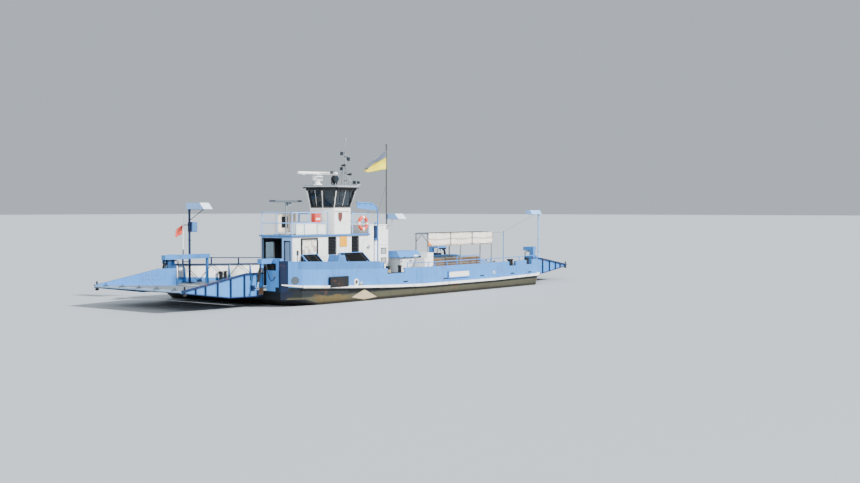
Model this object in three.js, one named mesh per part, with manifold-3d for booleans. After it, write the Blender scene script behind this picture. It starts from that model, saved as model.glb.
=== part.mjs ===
// A small double-ended river passenger ferry, in millimetres.
// +X runs along the boat, +Z is up, and the side with the deckhouse, the near side, is -Y.
// The origin lies on the waterline, midway along the boat and on its centre line.
import * as THREE from "three";
import { mergeVertices } from "three/addons/utils/BufferGeometryUtils.js";
import { ConvexGeometry } from "three/addons/geometries/ConvexGeometry.js";
import Module from "manifold-3d";

const wasm = await Module();
wasm.setup();

// Clearance that is left where two pieces touch.
const GAP = 0.3;
// Radial clearance of a pin in its bore; both have flat sides, so it is wider than the gap.
const PIN_PLAY = 1.2;

// Hull.
const HALF_LENGTH = 9650;
const HALF_BEAM = 4150;
const DECK = 650;
const DRAUGHT = 800;
const HULL_SPLIT = 300;
const CORNER = { along: 820, across: 450 };
const PLATE = 60;

// Sides above the deck: the rub rail and the bulwarks follow the sheer.
const SHEER = { start: -500, rate: 0.0171, power: 1.4, rightRise: 80, rightStart: 5000 };
const RUB_RAIL = { start: -8850, top: 560, height: 150, proud: 90, wrap: 1030 };
const FENDER = { x0: -7240, x1: -6100, z0: 720, z1: 1160, proud: 120 };
const BULWARK_TOP = 1330;
const HIGH_BULWARK = { rise: 330, end: -3900 };
const PILLAR = { along: 330, depth: 530, rightRise: 60 };
const END_PLATE = { inner: 2870, thick: 60, top: 1510 };

// The engine well under the hatch, and the lugs with the pins that the ramps hang on.
const WELL = { x0: -5000, x1: -3300, y0: -3800, y1: -3240, floor: -250 };
const TRUNK_LEFT = -7360;
const LUG = { y: 2300, width: 120, pinLength: 420, root: 40, nose: 45, below: 70, above: 60 };

// Thrusters under the raked ends: name, x, y, and which way the screw points.
const THRUSTERS = [["left", -7900, -1500, -1], ["right", 7900, 1500, 1]];
const THRUSTER_COLLAR = { z: -600, top: -100, radius: 210 };

// Ramps, in their own frame: x runs outwards from the hull's end.
const RAMP = { length: 4330, halfWidth: 2780, tipRise: 220, panel: 30, rib: 60 };
const RAMP_HINGE = { out: 75, z: 560, pin: 32 };
const RIB_PLACES = [360, 1090, 1830, 2520, 3150, 3650];

// Ramp cylinders, from the gallows' lug to the ramp's pin.
const CYLINDER = { y: 3080, topOut: 520, topZ: 1690, eyeOut: 700, eyeZ: 800, barrel: 62, rod: 30 };
// The arm of the far left gallows also runs inboard, to a second post.
const GALLOWS = { bottom: 1800, top: 2000, width: 260, reach: 590, inboard: 1990, secondPost: 100 };

// Deckhouse on the near side, and the wheelhouse on its roof.
const HOUSE = { left: -7930, right: -2930, near: -2650, inner: -750, ceiling: 2850, roof: 2930, wall: 50 };
const CASING = { left: -2920, right: -1580, top: 3330, wall: 60 };
const WHEELHOUSE = { left: -5600, right: -4100, near: -2650, inner: -1450 };
const WINDOWS = { sill: 4100, head: 4980, wall: 50, mullion: 56 };
const WHEELHOUSE_ROOF = { top: 5120, overhang: 100 };
// The wheelhouse's outline at the sill and at the head of its windows: x, y.
const SILL_OUTLINE = [
  [-5600, -2240], [-5280, -2650], [-4210, -2650], [-4100, -2540], [-4100, -1450], [-5600, -1450],
];
const HEAD_OUTLINE = [
  [-5850, -2430], [-5440, -2950], [-4120, -2950], [-3990, -2820], [-3990, -1450], [-5850, -1450],
];
const RAILING = { top: 3900, middle: 3450, radius: 22 };

// Solids: each helper returns one closed manifold, and join and cut combine them.
function solid(geometry) {
  const loose = geometry.index ? geometry.toNonIndexed() : geometry;
  const bare = new THREE.BufferGeometry();
  bare.setAttribute("position", loose.getAttribute("position"));
  const merged = mergeVertices(bare, 1e-3);
  const mesh = new wasm.Mesh({
    numProp: 3,
    vertProperties: merged.attributes.position.array,
    triVerts: new Uint32Array(merged.index.array),
  });
  return new wasm.Manifold(mesh);
}

const join = (...parts) => parts.flat().reduce((whole, part) => whole.add(part));
const cut = (whole, ...tools) => tools.flat().reduce((left, tool) => left.subtract(tool), whole);

function block([x0, x1], [y0, y1], [z0, z1]) {
  const box = new THREE.BoxGeometry(x1 - x0, y1 - y0, z1 - z0);
  box.translate((x0 + x1) / 2, (y0 + y1) / 2, (z0 + z1) / 2);
  return solid(box);
}

// A polygon extruded along one axis: its points are (x, y) for z, (x, z) for y and (y, z) for x.
const FRAMES = {
  z: [new THREE.Vector3(1, 0, 0), new THREE.Vector3(0, 1, 0), new THREE.Vector3(0, 0, 1), 1],
  y: [new THREE.Vector3(1, 0, 0), new THREE.Vector3(0, 0, 1), new THREE.Vector3(0, -1, 0), -1],
  x: [new THREE.Vector3(0, 1, 0), new THREE.Vector3(0, 0, 1), new THREE.Vector3(1, 0, 0), 1],
};

function sheet(points, axis, from, to) {
  const [across, up, along, sign] = FRAMES[axis];
  const shape = new THREE.Shape(points.map(([u, v]) => new THREE.Vector2(u, v)));
  const made = new THREE.ExtrudeGeometry(shape, { depth: to - from, bevelEnabled: false });
  made.translate(0, 0, sign > 0 ? from : -to);
  made.applyMatrix4(new THREE.Matrix4().makeBasis(across, up, along));
  return solid(made);
}

function alongLine(geometry, p, q) {
  const from = new THREE.Vector3(...p);
  const to = new THREE.Vector3(...q);
  const up = new THREE.Vector3(0, 1, 0);
  geometry.applyQuaternion(new THREE.Quaternion().setFromUnitVectors(up, to.clone().sub(from).normalize()));
  const middle = from.add(to).multiplyScalar(0.5);
  geometry.translate(middle.x, middle.y, middle.z);
  return solid(geometry);
}

const length = (p, q) => new THREE.Vector3(...p).distanceTo(new THREE.Vector3(...q));
const cone = (p, q, r0, r1, sides = 12) => alongLine(new THREE.CylinderGeometry(r1, r0, length(p, q), sides), p, q);
const rod = (p, q, radius, sides = 8) => cone(p, q, radius, radius, sides);

function ball([x, y, z], radius, across = 10, down = 6) {
  const made = new THREE.SphereGeometry(radius, across, down);
  made.translate(x, y, z);
  return solid(made);
}

// A pipe that bends through points, with round corners.
function pipe(points, radius, steps = 12, sides = 8) {
  const path = new THREE.CatmullRomCurve3(points.map((p) => new THREE.Vector3(...p)), false, "centripetal");
  const ring = new THREE.Shape();
  ring.absarc(0, 0, radius, 0, 2 * Math.PI, false);
  const made = new THREE.ExtrudeGeometry(ring, { steps, extrudePath: path, curveSegments: sides / 2 });
  return solid(made);
}

const hullOf = (points) => solid(new ConvexGeometry(points.map((p) => new THREE.Vector3(...p))));

function toGeometry(made) {
  const mesh = made.getMesh();
  const geometry = new THREE.BufferGeometry();
  geometry.setAttribute("position", new THREE.BufferAttribute(mesh.vertProperties, 3));
  geometry.setIndex(new THREE.BufferAttribute(mesh.triVerts, 1));
  geometry.computeVertexNormals();
  return geometry;
}

const paint = (color, roughness = 0.5, metalness = 0.1) =>
  new THREE.MeshStandardMaterial({ color, roughness, metalness });
const LIGHT_BLUE = paint(0x8fb3dc);
const NAVY = paint(0x1e3a6b);
const WHITE = paint(0xe8e8e4);
const GREY = paint(0x8c8f92, 0.7);
const BLACK = paint(0x202226, 0.7);
const STEEL = paint(0x9aa0a6, 0.35, 0.9);
const BRONZE = paint(0x9a7b3c, 0.4, 0.9);
const ORANGE = paint(0xe8622a);
const YELLOW = paint(0xe8c84a);
const CANVAS = paint(0xefe0d0, 0.9, 0);
const RED = paint(0xc8452f, 0.9, 0);

const ferry = new THREE.Group();

function piece(name, material, made, parent = ferry) {
  const mesh = new THREE.Mesh(toGeometry(made), material);
  mesh.name = name;
  parent.add(mesh);
  return mesh;
}

// The sheer: how far the side's lines rise above their height amidships.
function sheer(x) {
  if (x < SHEER.start) return SHEER.rate * ((SHEER.start - x) / 1000) ** SHEER.power * 1000;
  if (x > SHEER.rightStart) return (SHEER.rightRise * (x - SHEER.rightStart)) / (HALF_LENGTH - SHEER.rightStart);
  return 0;
}

const STATIONS = [-9650, -8700, -7400, -5800, -3900, -2200, -500, 5000, 9650];

// The hull: a flat deck over raked ends, with the corner over each thruster cut away below the rail.
const deckOutline = (grow = 0) => {
  const x = HALF_LENGTH + grow;
  const y = HALF_BEAM + grow;
  const { along, across } = CORNER;
  return [
    [-x, -y + across], [-x + along, -y], [x - along, -y], [x, -y + across],
    [x, y - across], [x - along, y], [-x + along, y], [-x, y - across],
  ];
};

function hull() {
  // Half of the boat's levels, as (x, y, z); a half turn about Z gives the other half.
  const half = [
    [-9650, -3700, 330], [-8830, -4150, 330], [-9650, 3700, 330], [-8830, 4150, 330],
    [-8850, -2300, 0], [-7400, -3250, 0], [-5000, -4150, 120], [-9000, 4000, 0],
    [-6300, -3000, -DRAUGHT], [-4200, -3900, -DRAUGHT], [-6900, -1900, -DRAUGHT], [-6900, 3700, -DRAUGHT],
  ];
  const whole = half.concat(half.map(([x, y, z]) => [-x, -y, z]));
  const below = hullOf(whole);
  const above = sheet(deckOutline(), "z", HULL_SPLIT, DECK);
  const pocket = block([WELL.x0, WELL.x1], [WELL.y0, WELL.y1], [WELL.floor, DECK + 1]);
  const lugs = [-1, 1].flatMap((end) => [-1, 1].map((side) => hingeLug(end, side)));
  const { z, top, radius } = THRUSTER_COLLAR;
  const collars = THRUSTERS.map(([, x, y]) => rod([x, y, z], [x, y, top], radius, 20));
  return join(cut(join(below, above), pocket), lugs, collars);
}

// A lug on the hull's end with the pin that a ramp hangs on; two at each end.
function hingeLug(end, side) {
  const y = side * LUG.y;
  const outer = HALF_LENGTH + RAMP_HINGE.out;
  const half = LUG.width / 2;
  const reach = [HALF_LENGTH - LUG.root, outer + LUG.nose];
  const xs = end > 0 ? reach : [-reach[1], -reach[0]];
  const { z } = RAMP_HINGE;
  const lug = block(xs, [y - half, y + half], [z - LUG.below, z + LUG.above]);
  const x = end * outer;
  const pin = rod([x, y - LUG.pinLength / 2, z], [x, y + LUG.pinLength / 2, z], RAMP_HINGE.pin, 24);
  return join(lug, pin);
}

piece("hull", LIGHT_BLUE, hull());

// Rub rails: a ring round the hull's outline, cut to the sheer, one on each side.
const across = (side, inner, outer) => (side < 0 ? [-outer, -inner] : [inner, outer]);

// Far enough past the hull's outline for the shapes that cut or keep parts of its sides.
const MARGIN = 500;
const [LONG, BROAD] = [HALF_LENGTH + MARGIN, HALF_BEAM + MARGIN];
const RAIL_HEIGHTS = [200, 1400];

function lineBand(bottom, top) {
  const stretch = 1.02;
  const lower = STATIONS.map((x) => [x * stretch, bottom + sheer(x)]);
  const upper = STATIONS.map((x) => [x * stretch, top + sheer(x)]).reverse();
  return sheet(lower.concat(upper), "y", -BROAD, BROAD);
}

function sideRing(inset, proud, side, reach, z0, z1) {
  const outer = sheet(deckOutline(proud), "z", z0, z1);
  const inner = sheet(deckOutline(inset), "z", z0 - 1, z1 + 1);
  const keep = block([-LONG, LONG], across(side, HALF_BEAM - reach, BROAD), [z0, z1]);
  return cut(outer, inner).intersect(keep);
}

for (const [name, side] of [["near", -1], ["far", 1]]) {
  const ring = sideRing(GAP, RUB_RAIL.proud, side, RUB_RAIL.wrap, ...RAIL_HEIGHTS);
  const band = lineBand(RUB_RAIL.top - RUB_RAIL.height, RUB_RAIL.top);
  // Each rail goes round one corner only and stops short of the other.
  const kept = block(side < 0 ? [RUB_RAIL.start, LONG] : [-LONG, -RUB_RAIL.start], [-BROAD, BROAD], RAIL_HEIGHTS);
  // The near side also carries a black fender box on its rail.
  const { x0, x1, z0, z1, proud } = FENDER;
  const fender = block([x0, x1], [-HALF_BEAM - proud, -HALF_BEAM - GAP], [z0, z1]);
  const rail = ring.intersect(band).intersect(kept);
  piece(`rub_rail_${name}`, WHITE, side < 0 ? rail.add(fender) : rail);
}

// Bulwarks: plating with a cap, inside frames and a closed pillar at each end.
const CAP = { height: 50, width: 130 };
const SIDE_TOP = 2200;
const FRAMES_ON_SIDE = { first: -8250, last: 8650, step: 1380, foot: 240, head: 120 };
// Gaps in the near bulwark's top for the mooring bollards: from, to, depth.
const NOTCHES = [[-3380, -2140, 250], [6300, 6900, 230], [7900, 8400, 230]];

const bulwarkTop = (x) => BULWARK_TOP + 0.65 * sheer(x);

function bulwark(side) {
  const top = (x, rise) => bulwarkTop(x) + rise;
  const profile = (rise) => {
    const upper = STATIONS.map((x) => [x, top(x, rise)]).reverse();
    return sheet([[-HALF_LENGTH, DECK + GAP], [HALF_LENGTH, DECK + GAP], ...upper], "y", -HALF_BEAM, HALF_BEAM);
  };
  const ring = sideRing(-PLATE, 0, side, PILLAR.depth, DECK, SIDE_TOP);
  const plating = ring.intersect(profile(0));
  const capRing = sideRing(-CAP.width, 0, side, PILLAR.depth, DECK, SIDE_TOP);
  const cap = cut(capRing.intersect(profile(0)), profile(-CAP.height));
  const frames = [];
  for (let x = FRAMES_ON_SIDE.first; x < FRAMES_ON_SIDE.last; x += FRAMES_ON_SIDE.step) {
    const y = side * (HALF_BEAM - PLATE / 2);
    const foot = side * (HALF_BEAM - FRAMES_ON_SIDE.foot);
    const head = side * (HALF_BEAM - FRAMES_ON_SIDE.head);
    const [low, high] = [DECK + 20, bulwarkTop(x) - CAP.height / 2];
    const web = [[y, low], [foot, low], [head, high], [y, high]];
    frames.push(sheet(side < 0 ? web.reverse() : web, "x", x - 10, x + 10));
  }
  const pillars = [-1, 1].map((end) => pillar(end, side));
  let whole = join(plating, cap, frames, pillars);
  if (side < 0) {
    const high = STATIONS.filter((x) => x <= HIGH_BULWARK.end);
    const raised = high.map((x) => [x, top(x, HIGH_BULWARK.rise)]).reverse();
    const foot = [[-HALF_LENGTH, DECK + GAP], [HIGH_BULWARK.end, DECK + GAP]];
    whole = join(whole, ring.intersect(sheet([...foot, ...raised], "y", -HALF_BEAM, HALF_BEAM)));
    const gaps = NOTCHES.map(([x0, x1, depth]) =>
      block([x0, x1], [-HALF_BEAM - 10, -HALF_BEAM + 2 * CAP.width], [bulwarkTop(x0) - depth, SIDE_TOP]));
    whole = cut(whole, gaps);
  }
  return whole;
}

// A pillar and the plate that closes the hull's end between it and the ramp.
function pillar(end, side) {
  const from = (depth) => (end > 0 ? [HALF_LENGTH - depth, HALF_LENGTH] : [-HALF_LENGTH, -HALF_LENGTH + depth]);
  const rise = end < 0 ? HIGH_BULWARK.rise : PILLAR.rightRise;
  const top = bulwarkTop(end * HALF_LENGTH) + rise;
  const box = block(from(PILLAR.along), across(side, HALF_BEAM - PILLAR.depth, HALF_BEAM), [DECK + GAP, top]);
  const post = box.intersect(sheet(deckOutline(), "z", DECK, top + 100));
  const { inner, thick, top: plateTop } = END_PLATE;
  const plate = block(from(thick), across(side, inner, HALF_BEAM - PILLAR.depth + 10), [DECK + GAP, plateTop]);
  return post.add(plate);
}

// Ramps: a ribbed deck between two side panels, built outwards from the hinge.
// The top and bottom edges of a ramp's side, and the underside of the beams below its floor: x, z.
const RAMP_TOP = [[60, 1390], [1000, 1400], [4210, 870], [4330, 870]];
const RAMP_BOTTOM = [[60, 430], [1900, 450], [4330, 770]];
const BEAM_UNDERSIDE = [[60, 480], [1900, 490], [4270, 790]];
const RAMP_RAIL = 70;
const RAMP_EDGE = { height: 40, proud: 40 };
const RAMP_BEAMS = { y: [-1800, -600, 600, 1800], half: 15, root: 630 };
const RAMP_CROSS_BEAMS = { x: [1000, 1900, 2900], half: 15 };
const RAMP_LIP = { out: 10, z: 820, radius: 45 };
const RAMP_FLOOR = { start: 60, thick: 40 };
const HINGE_TUBE = { half: 50, gap: 15, radius: 62, armFrom: 10, armTo: 140, below: 45, above: 60 };
const RAMP_EYE = { x: CYLINDER.eyeOut - RAMP_HINGE.out, z: CYLINDER.eyeZ, pin: 26, past: 45, boss: 110, proud: 25 };
const rampFloor = (x) => DECK + (RAMP.tipRise * x) / RAMP.length;

// How high a line through a table of points is at x.
function heightOn(points, x) {
  const i = Math.max(1, points.findIndex(([px]) => px >= x));
  const [[xa, za], [xb, zb]] = [points[i - 1], points[i]];
  return za + ((zb - za) * (x - xa)) / (xb - xa);
}

// Strips of one height along the lines of a table, from its first point to its last.
function strips(points, below, above, ys) {
  return points.slice(1).map(([xb, zb], i) => {
    const [xa, za] = points[i];
    return sheet([[xa, za - below], [xb, zb - below], [xb, zb + above], [xa, za + above]], "y", ...ys);
  });
}

function rampSide(side) {
  const inner = RAMP.halfWidth - RAMP.panel;
  const root = RAMP.halfWidth - 5;
  const panel = sheet([...RAMP_BOTTOM, ...[...RAMP_TOP].reverse()], "y", ...across(side, inner, RAMP.halfWidth));
  const outside = across(side, root, RAMP.halfWidth + RAMP.rib);
  const ribs = RIB_PLACES.map((x) =>
    block([x - 20, x + 20], outside, [heightOn(RAMP_BOTTOM, x) + 8, heightOn(RAMP_TOP, x) - 8]));
  const rail = strips(RAMP_TOP, RAMP_RAIL / 2, RAMP_RAIL / 2, across(side, inner, RAMP.halfWidth + RAMP.rib));
  const edge = strips(RAMP_BOTTOM, 0, RAMP_EDGE.height, across(side, root, RAMP.halfWidth + RAMP_EDGE.proud));
  // The pin that the cylinder's eye turns on, and its boss.
  const { x, z, pin: radius, past, boss: half, proud } = RAMP_EYE;
  const pin = rod([x, side * root, z], [x, side * (CYLINDER.y + past), z], radius, 12);
  const boss = block([x - half, x + half], across(side, root, RAMP.halfWidth + proud), [z - half, z + half]);
  return join(panel, ribs, rail, edge, pin, boss);
}

function rampDeck() {
  const half = RAMP.halfWidth - RAMP.panel - GAP;
  const tip = RAMP.length;
  const { start, thick } = RAMP_FLOOR;
  const bottom = (x) => rampFloor(x) - thick;
  const slab = [[start, bottom(start)], [tip, bottom(tip)], [tip, rampFloor(tip)], [start, rampFloor(start)]];
  const floor = sheet(slab, "y", -half, half);
  const beamTop = [[BEAM_UNDERSIDE[2][0], rampFloor(tip) - thick / 2], [start, RAMP_BEAMS.root]];
  const beams = RAMP_BEAMS.y.map((y) =>
    sheet([...BEAM_UNDERSIDE, ...beamTop], "y", y - RAMP_BEAMS.half, y + RAMP_BEAMS.half));
  const crossBeams = RAMP_CROSS_BEAMS.x.map((x) =>
    block([x - RAMP_CROSS_BEAMS.half, x + RAMP_CROSS_BEAMS.half], [-half, half],
      [heightOn(RAMP_BOTTOM, x) + 60, rampFloor(x) - thick / 2]));
  const { out, z, radius } = RAMP_LIP;
  const lip = rod([tip + out, -half, z], [tip + out, half, z], radius, 10);
  const tubes = [-1, 1].flatMap((side) => [-1, 1].map((end) =>
    hingeTube(side * LUG.y + end * (LUG.width / 2 + HINGE_TUBE.gap + HINGE_TUBE.half))));
  return join(floor, beams, crossBeams, lip, tubes);
}

// A tube on the ramp's root that turns on the hinge's pin.
function hingeTube(y) {
  const { z } = RAMP_HINGE;
  const { half, radius, armFrom, armTo, below, above } = HINGE_TUBE;
  const tube = rod([0, y - half, z], [0, y + half, z], radius, 14);
  const arm = block([armFrom, armTo], [y - half, y + half], [z - below, z + above]);
  const bore = rod([0, y - half - 10, z], [0, y + half + 10, z], RAMP_HINGE.pin + 3 * GAP, 24);
  return cut(join(tube, arm), bore);
}

// The ramp at each end; the left one is the right one turned half round.
const ENDS = [["left", -1], ["right", 1]];
const SIDES = [["near", -1], ["far", 1]];
for (const [endName, end] of ENDS) {
  const ramp = new THREE.Group();
  ramp.position.set(end * (HALF_LENGTH + RAMP_HINGE.out), 0, 0);
  ramp.rotation.z = end < 0 ? Math.PI : 0;
  ferry.add(ramp);
  piece(`ramp_${endName}_deck`, GREY, rampDeck(), ramp);
  for (const [sideName, side] of SIDES) {
    piece(`ramp_${endName}_side_${sideName}`, LIGHT_BLUE, rampSide(side * end), ramp);
  }
}

// Gallows: a post inside each hull corner with an arm over the ramp's hinge, and the lug for the cylinder.
const POST = { y0: 3350, y1: 3600, x0: -280, x1: -80 };
// The cylinder's upper pin and the lug that holds it.
const TOP_LUG = { half: 60, from: 70, to: 100, pin: 24, pinFrom: 50, pinTo: 80 };

function gallows(side, inboard) {
  const { y: line, topOut, topZ } = CYLINDER;
  const half = GALLOWS.width / 2;
  const height = [GALLOWS.bottom, GALLOWS.top];
  const start = inboard ? -GALLOWS.inboard : POST.x0;
  const arm = block([start, GALLOWS.reach], across(side, line - half, line + half), height);
  const width = GALLOWS.secondPost;
  const postTop = GALLOWS.bottom + 10;
  const second = block([start, start + width], across(side, line - width / 2, line + width / 2), [DECK + GAP, postTop]);
  const link = block([POST.x0, POST.x1], across(side, line, POST.y1), height);
  const post = block([POST.x0, POST.x1], across(side, POST.y0, POST.y1), [DECK + GAP, postTop]);
  const { half: reach, from, to, pin: radius, pinFrom, pinTo } = TOP_LUG;
  const lug = block([topOut - reach, topOut + reach], across(side, line + from, line + to), [topZ - reach, postTop]);
  const pin = rod([topOut, side * (line - pinFrom), topZ], [topOut, side * (line + pinTo), topZ], radius, 12);
  return join(arm, link, post, lug, pin, inboard ? [second] : []);
}

// A cylinder in the gallows' frame: the barrel swings on the lug's pin, and the rod's eye is on the ramp's pin.
const TOP_PIN = new THREE.Vector3(CYLINDER.topOut, 0, CYLINDER.topZ);
const EYE_PIN = new THREE.Vector3(CYLINDER.eyeOut, 0, CYLINDER.eyeZ);
const STROKE_LINE = EYE_PIN.clone().sub(TOP_PIN).normalize();
const CYLINDER_SPAN = EYE_PIN.distanceTo(TOP_PIN);
const BARREL = { start: 50, end: 620, bore: CYLINDER.rod + 2 * GAP, boreStart: 110, overlap: 220 };
const BARREL_EYE = { outer: 58, inner: TOP_LUG.pin + PIN_PLAY, width: 60 };
const ROD_EYE = { outer: 66, inner: 44, width: 50 };

const onStroke = (distance, y) => TOP_PIN.clone().addScaledVector(STROKE_LINE, distance).setY(y).toArray();

function eyeRing(centre, y, outer, inner, width) {
  const [x, , z] = centre;
  const ring = rod([x, y - width / 2, z], [x, y + width / 2, z], outer, 16);
  return cut(ring, rod([x, y - width, z], [x, y + width, z], inner, 16));
}

function barrel(side) {
  const y = side * CYLINDER.y;
  const tube = rod(onStroke(BARREL.start, y), onStroke(BARREL.end, y), CYLINDER.barrel, 16);
  const { outer, inner, width } = BARREL_EYE;
  const eye = eyeRing(onStroke(0, y), y, outer, inner, width);
  const bore = rod(onStroke(BARREL.boreStart, y), onStroke(BARREL.end + 10, y), BARREL.bore, 16);
  return cut(join(tube, eye), bore, rod(onStroke(0, y - width), onStroke(0, y + width), inner, 16));
}

function ram(side) {
  const y = side * CYLINDER.y;
  const { outer, inner, width } = ROD_EYE;
  const shaft = rod(onStroke(BARREL.end - BARREL.overlap, y), onStroke(CYLINDER_SPAN - width, y), CYLINDER.rod, 16);
  return join(shaft, eyeRing(onStroke(CYLINDER_SPAN, y), y, outer, inner, width));
}

for (const [endName, end] of ENDS) {
  const corner = new THREE.Group();
  corner.position.x = end * HALF_LENGTH;
  corner.rotation.z = end < 0 ? Math.PI : 0;
  ferry.add(corner);
  for (const [sideName, side] of SIDES) {
    const name = `${endName}_${sideName}`;
    piece(`gallows_${name}`, LIGHT_BLUE, gallows(side * end, name === "left_far"), corner);
    piece(`cylinder_barrel_${name}`, BLACK, barrel(side * end), corner);
    piece(`cylinder_rod_${name}`, STEEL, ram(side * end), corner);
  }
}

// Deckhouse: a near wall, an inner wall, an end wall with the doorway, and the tall casing at the right end.
// Openings in the near wall: x from and to, z from and to.
const NEAR_OPENINGS = [[-5660, -5180, 2060, 2790], [-4110, -3670, 2060, 2790]];
const SIDE_DOOR = { x0: -3400, x1: -2990, z0: 760, z1: 2640, thick: 45, play: 8, hinge: 14, out: 26, strap: 110 };
// Cuts reach past a wall by this much.
const THROUGH = 100;
const INNER_WINDOWS = [[-7700, -7200], [-6600, -5900], [-5200, -4500]];
const INNER_WINDOW_HEIGHT = [1850, 2600];
const DOORWAY = { y0: -2000, y1: -850, top: 2760 };
const END_WINDOW = { y0: -2520, y1: -2200, z0: 1750, z1: 2650 };
const houseWalls = [DECK + GAP, HOUSE.ceiling];

function nearWall() {
  const wall = block([HOUSE.left, HOUSE.right], [HOUSE.near, HOUSE.near + HOUSE.wall], houseWalls);
  const depth = [HOUSE.near - 10, HOUSE.near + THROUGH];
  const slots = NEAR_OPENINGS.map(([x0, x1, z0, z1]) => block([x0, x1], depth, [z0, z1]));
  const door = block([SIDE_DOOR.x0, SIDE_DOOR.x1], depth, [SIDE_DOOR.z0, SIDE_DOOR.z1]);
  return cut(wall, slots, door);
}

function innerWall() {
  const wall = block([HOUSE.left, HOUSE.right], [HOUSE.inner - HOUSE.wall, HOUSE.inner], houseWalls);
  const depth = [HOUSE.inner - THROUGH, HOUSE.inner + 10];
  const panes = INNER_WINDOWS.map((x) => block(x, depth, INNER_WINDOW_HEIGHT));
  return cut(wall, panes);
}

function endWall() {
  const y = [HOUSE.near + HOUSE.wall + GAP, HOUSE.inner - HOUSE.wall - GAP];
  const wall = block([HOUSE.left, HOUSE.left + HOUSE.wall], y, houseWalls);
  const outside = [HOUSE.left - 10, HOUSE.left + THROUGH];
  const door = block(outside, [DOORWAY.y0, DOORWAY.y1], [DECK + 60, DOORWAY.top]);
  const pane = block(outside, [END_WINDOW.y0, END_WINDOW.y1], [END_WINDOW.z0, END_WINDOW.z1]);
  return cut(wall, door, pane);
}

function sideDoor() {
  const { x0, x1, z0, z1, thick, play, hinge, out, strap } = SIDE_DOOR;
  const leaf = block([x0 + hinge, x1 - play], [HOUSE.near - 2, HOUSE.near - 2 + thick], [z0 + play, z1 - play]);
  const heights = [z0 + 350, z1 - 350];
  const [x, y] = [x1 + 6, HOUSE.near - out];
  const hinges = heights.map((z) => rod([x, y, z - 60], [x, y, z + 60], 16, 10));
  const straps = heights.map((z) => block([x1 - strap, x], [y - 6, HOUSE.near - GAP], [z - 25, z + 25]));
  const handle = rod([x0 + 60, HOUSE.near - 50, 1650], [x0 + 60, HOUSE.near + 5, 1650], 12, 8);
  return join(leaf, hinges, straps, handle);
}

piece("house_near_wall", WHITE, nearWall());
piece("house_inner_wall", WHITE, innerWall());
piece("house_end_wall", WHITE, endWall());
piece("house_side_door", WHITE, sideDoor());
// The casing is a hollow box with a doorway, and carries a lamp's hood on a bracket at its near right corner.
const CASING_DOOR = { y: [-2100, -1300], z: [850, 2400] };
const CASING_HOOD = { x: [-1450, -900], y: [-3200, -2400], z: [3580, 3820], slope: 240 };
const CASING_BRACKET = { x: -1200, y: -2585, z: 3260, half: 35 };

function exhaustCasing() {
  const { left, right, top, wall } = CASING;
  const outer = block([left, right], [HOUSE.near, HOUSE.inner], [DECK + GAP, top]);
  const { near, inner } = HOUSE;
  const inside = block([left + wall, right - wall], [near + wall, inner - wall], [DECK - 10, top - wall]);
  const doorway = block([right - 2 * wall, right + 10], CASING_DOOR.y, CASING_DOOR.z);
  const { x, y, z, half } = CASING_BRACKET;
  const arm = block([right - 10, x], [y - half, y + half], [z - half, z + half]);
  const stem = rod([x, y, z], [x, y, CASING_HOOD.z[0] + 20], half, 8);
  const lamp = hood(CASING_HOOD.x, CASING_HOOD.y, CASING_HOOD.z, CASING_HOOD.slope);
  return join(cut(outer, inside, doorway), arm, stem, lamp);
}

piece("exhaust_casing", WHITE, exhaustCasing());
const EAVES = 60;
piece("upper_deck", LIGHT_BLUE, block(
  [HOUSE.left - EAVES, HOUSE.right], [HOUSE.near - EAVES, HOUSE.inner + EAVES], [HOUSE.ceiling + GAP, HOUSE.roof],
));

// Engine in its well, and the trunk over it with a vent box and two lids that stand open.
const HATCH = { top: 1640, wall: 40, hinge: -3220, lid: 699.4, thick: 40, open: 140 };
// Lids: x from and to.
const LIDS = [[-7400, -6420], [-5040, -3420]];
const VENT = { x0: -6380, x1: -5720, top: 2050, slope: 170 };

function trunk() {
  const { top, wall } = HATCH;
  const y = [WELL.y0 - wall, WELL.y1 + wall];
  const outer = block([TRUNK_LEFT - wall, WELL.x1 + wall], y, [DECK + GAP, top]);
  const inner = block([TRUNK_LEFT, WELL.x1], [WELL.y0, WELL.y1], [DECK - 1, top + 1]);
  const { x0, x1, slope } = VENT;
  const ventEnd = [[x0, top - wall], [x1, top - wall], [x1 - slope, VENT.top], [x0 + slope, VENT.top]];
  const vent = sheet(ventEnd, "y", ...y);
  // A fixed plate covers the trunk from the vent to the second lid.
  const cover = block([x1 - wall, LIDS[1][0] - wall], y, [top - wall, top]);
  return join(cut(outer, inner), vent, cover);
}

// A lid in its hinge's frame, closed: it reaches from the hinge towards the near side.
function lid(x0, x1) {
  const plate = block([x0, x1], [-HATCH.lid, -12], [12, 12 + HATCH.thick]);
  const knuckles = [x0 + 200, x1 - 200].map((x) => rod([x - 60, 0, 0], [x + 60, 0, 0], 10, 8));
  const straps = [x0 + 200, x1 - 200].map((x) => block([x - 40, x + 40], [-120, -6], [0, 14]));
  return join(plate, knuckles, straps);
}

piece("engine", GREY, block([WELL.x0 + 100, WELL.x1 - 100], [WELL.y0 + 40, WELL.y1 - 40], [WELL.floor + GAP, 900]));
piece("hatch_trunk", LIGHT_BLUE, trunk());
LIDS.forEach(([x0, x1], i) => {
  const hinge = new THREE.Group();
  hinge.position.set(0, HATCH.hinge, HATCH.top + 10 + GAP);
  hinge.rotation.x = (-HATCH.open * Math.PI) / 180;
  ferry.add(hinge);
  piece(`hatch_lid_${i + 1}`, LIGHT_BLUE, lid(x0, x1), hinge);
});

// Upper deck railing, with its posts, rails and the boards and boxes that hang on it.
const UPPER = {
  x0: HOUSE.left + 30, x1: WHEELHOUSE.left - 60, y0: HOUSE.near + 30, y1: HOUSE.inner - 30, joint: -6900,
};
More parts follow.
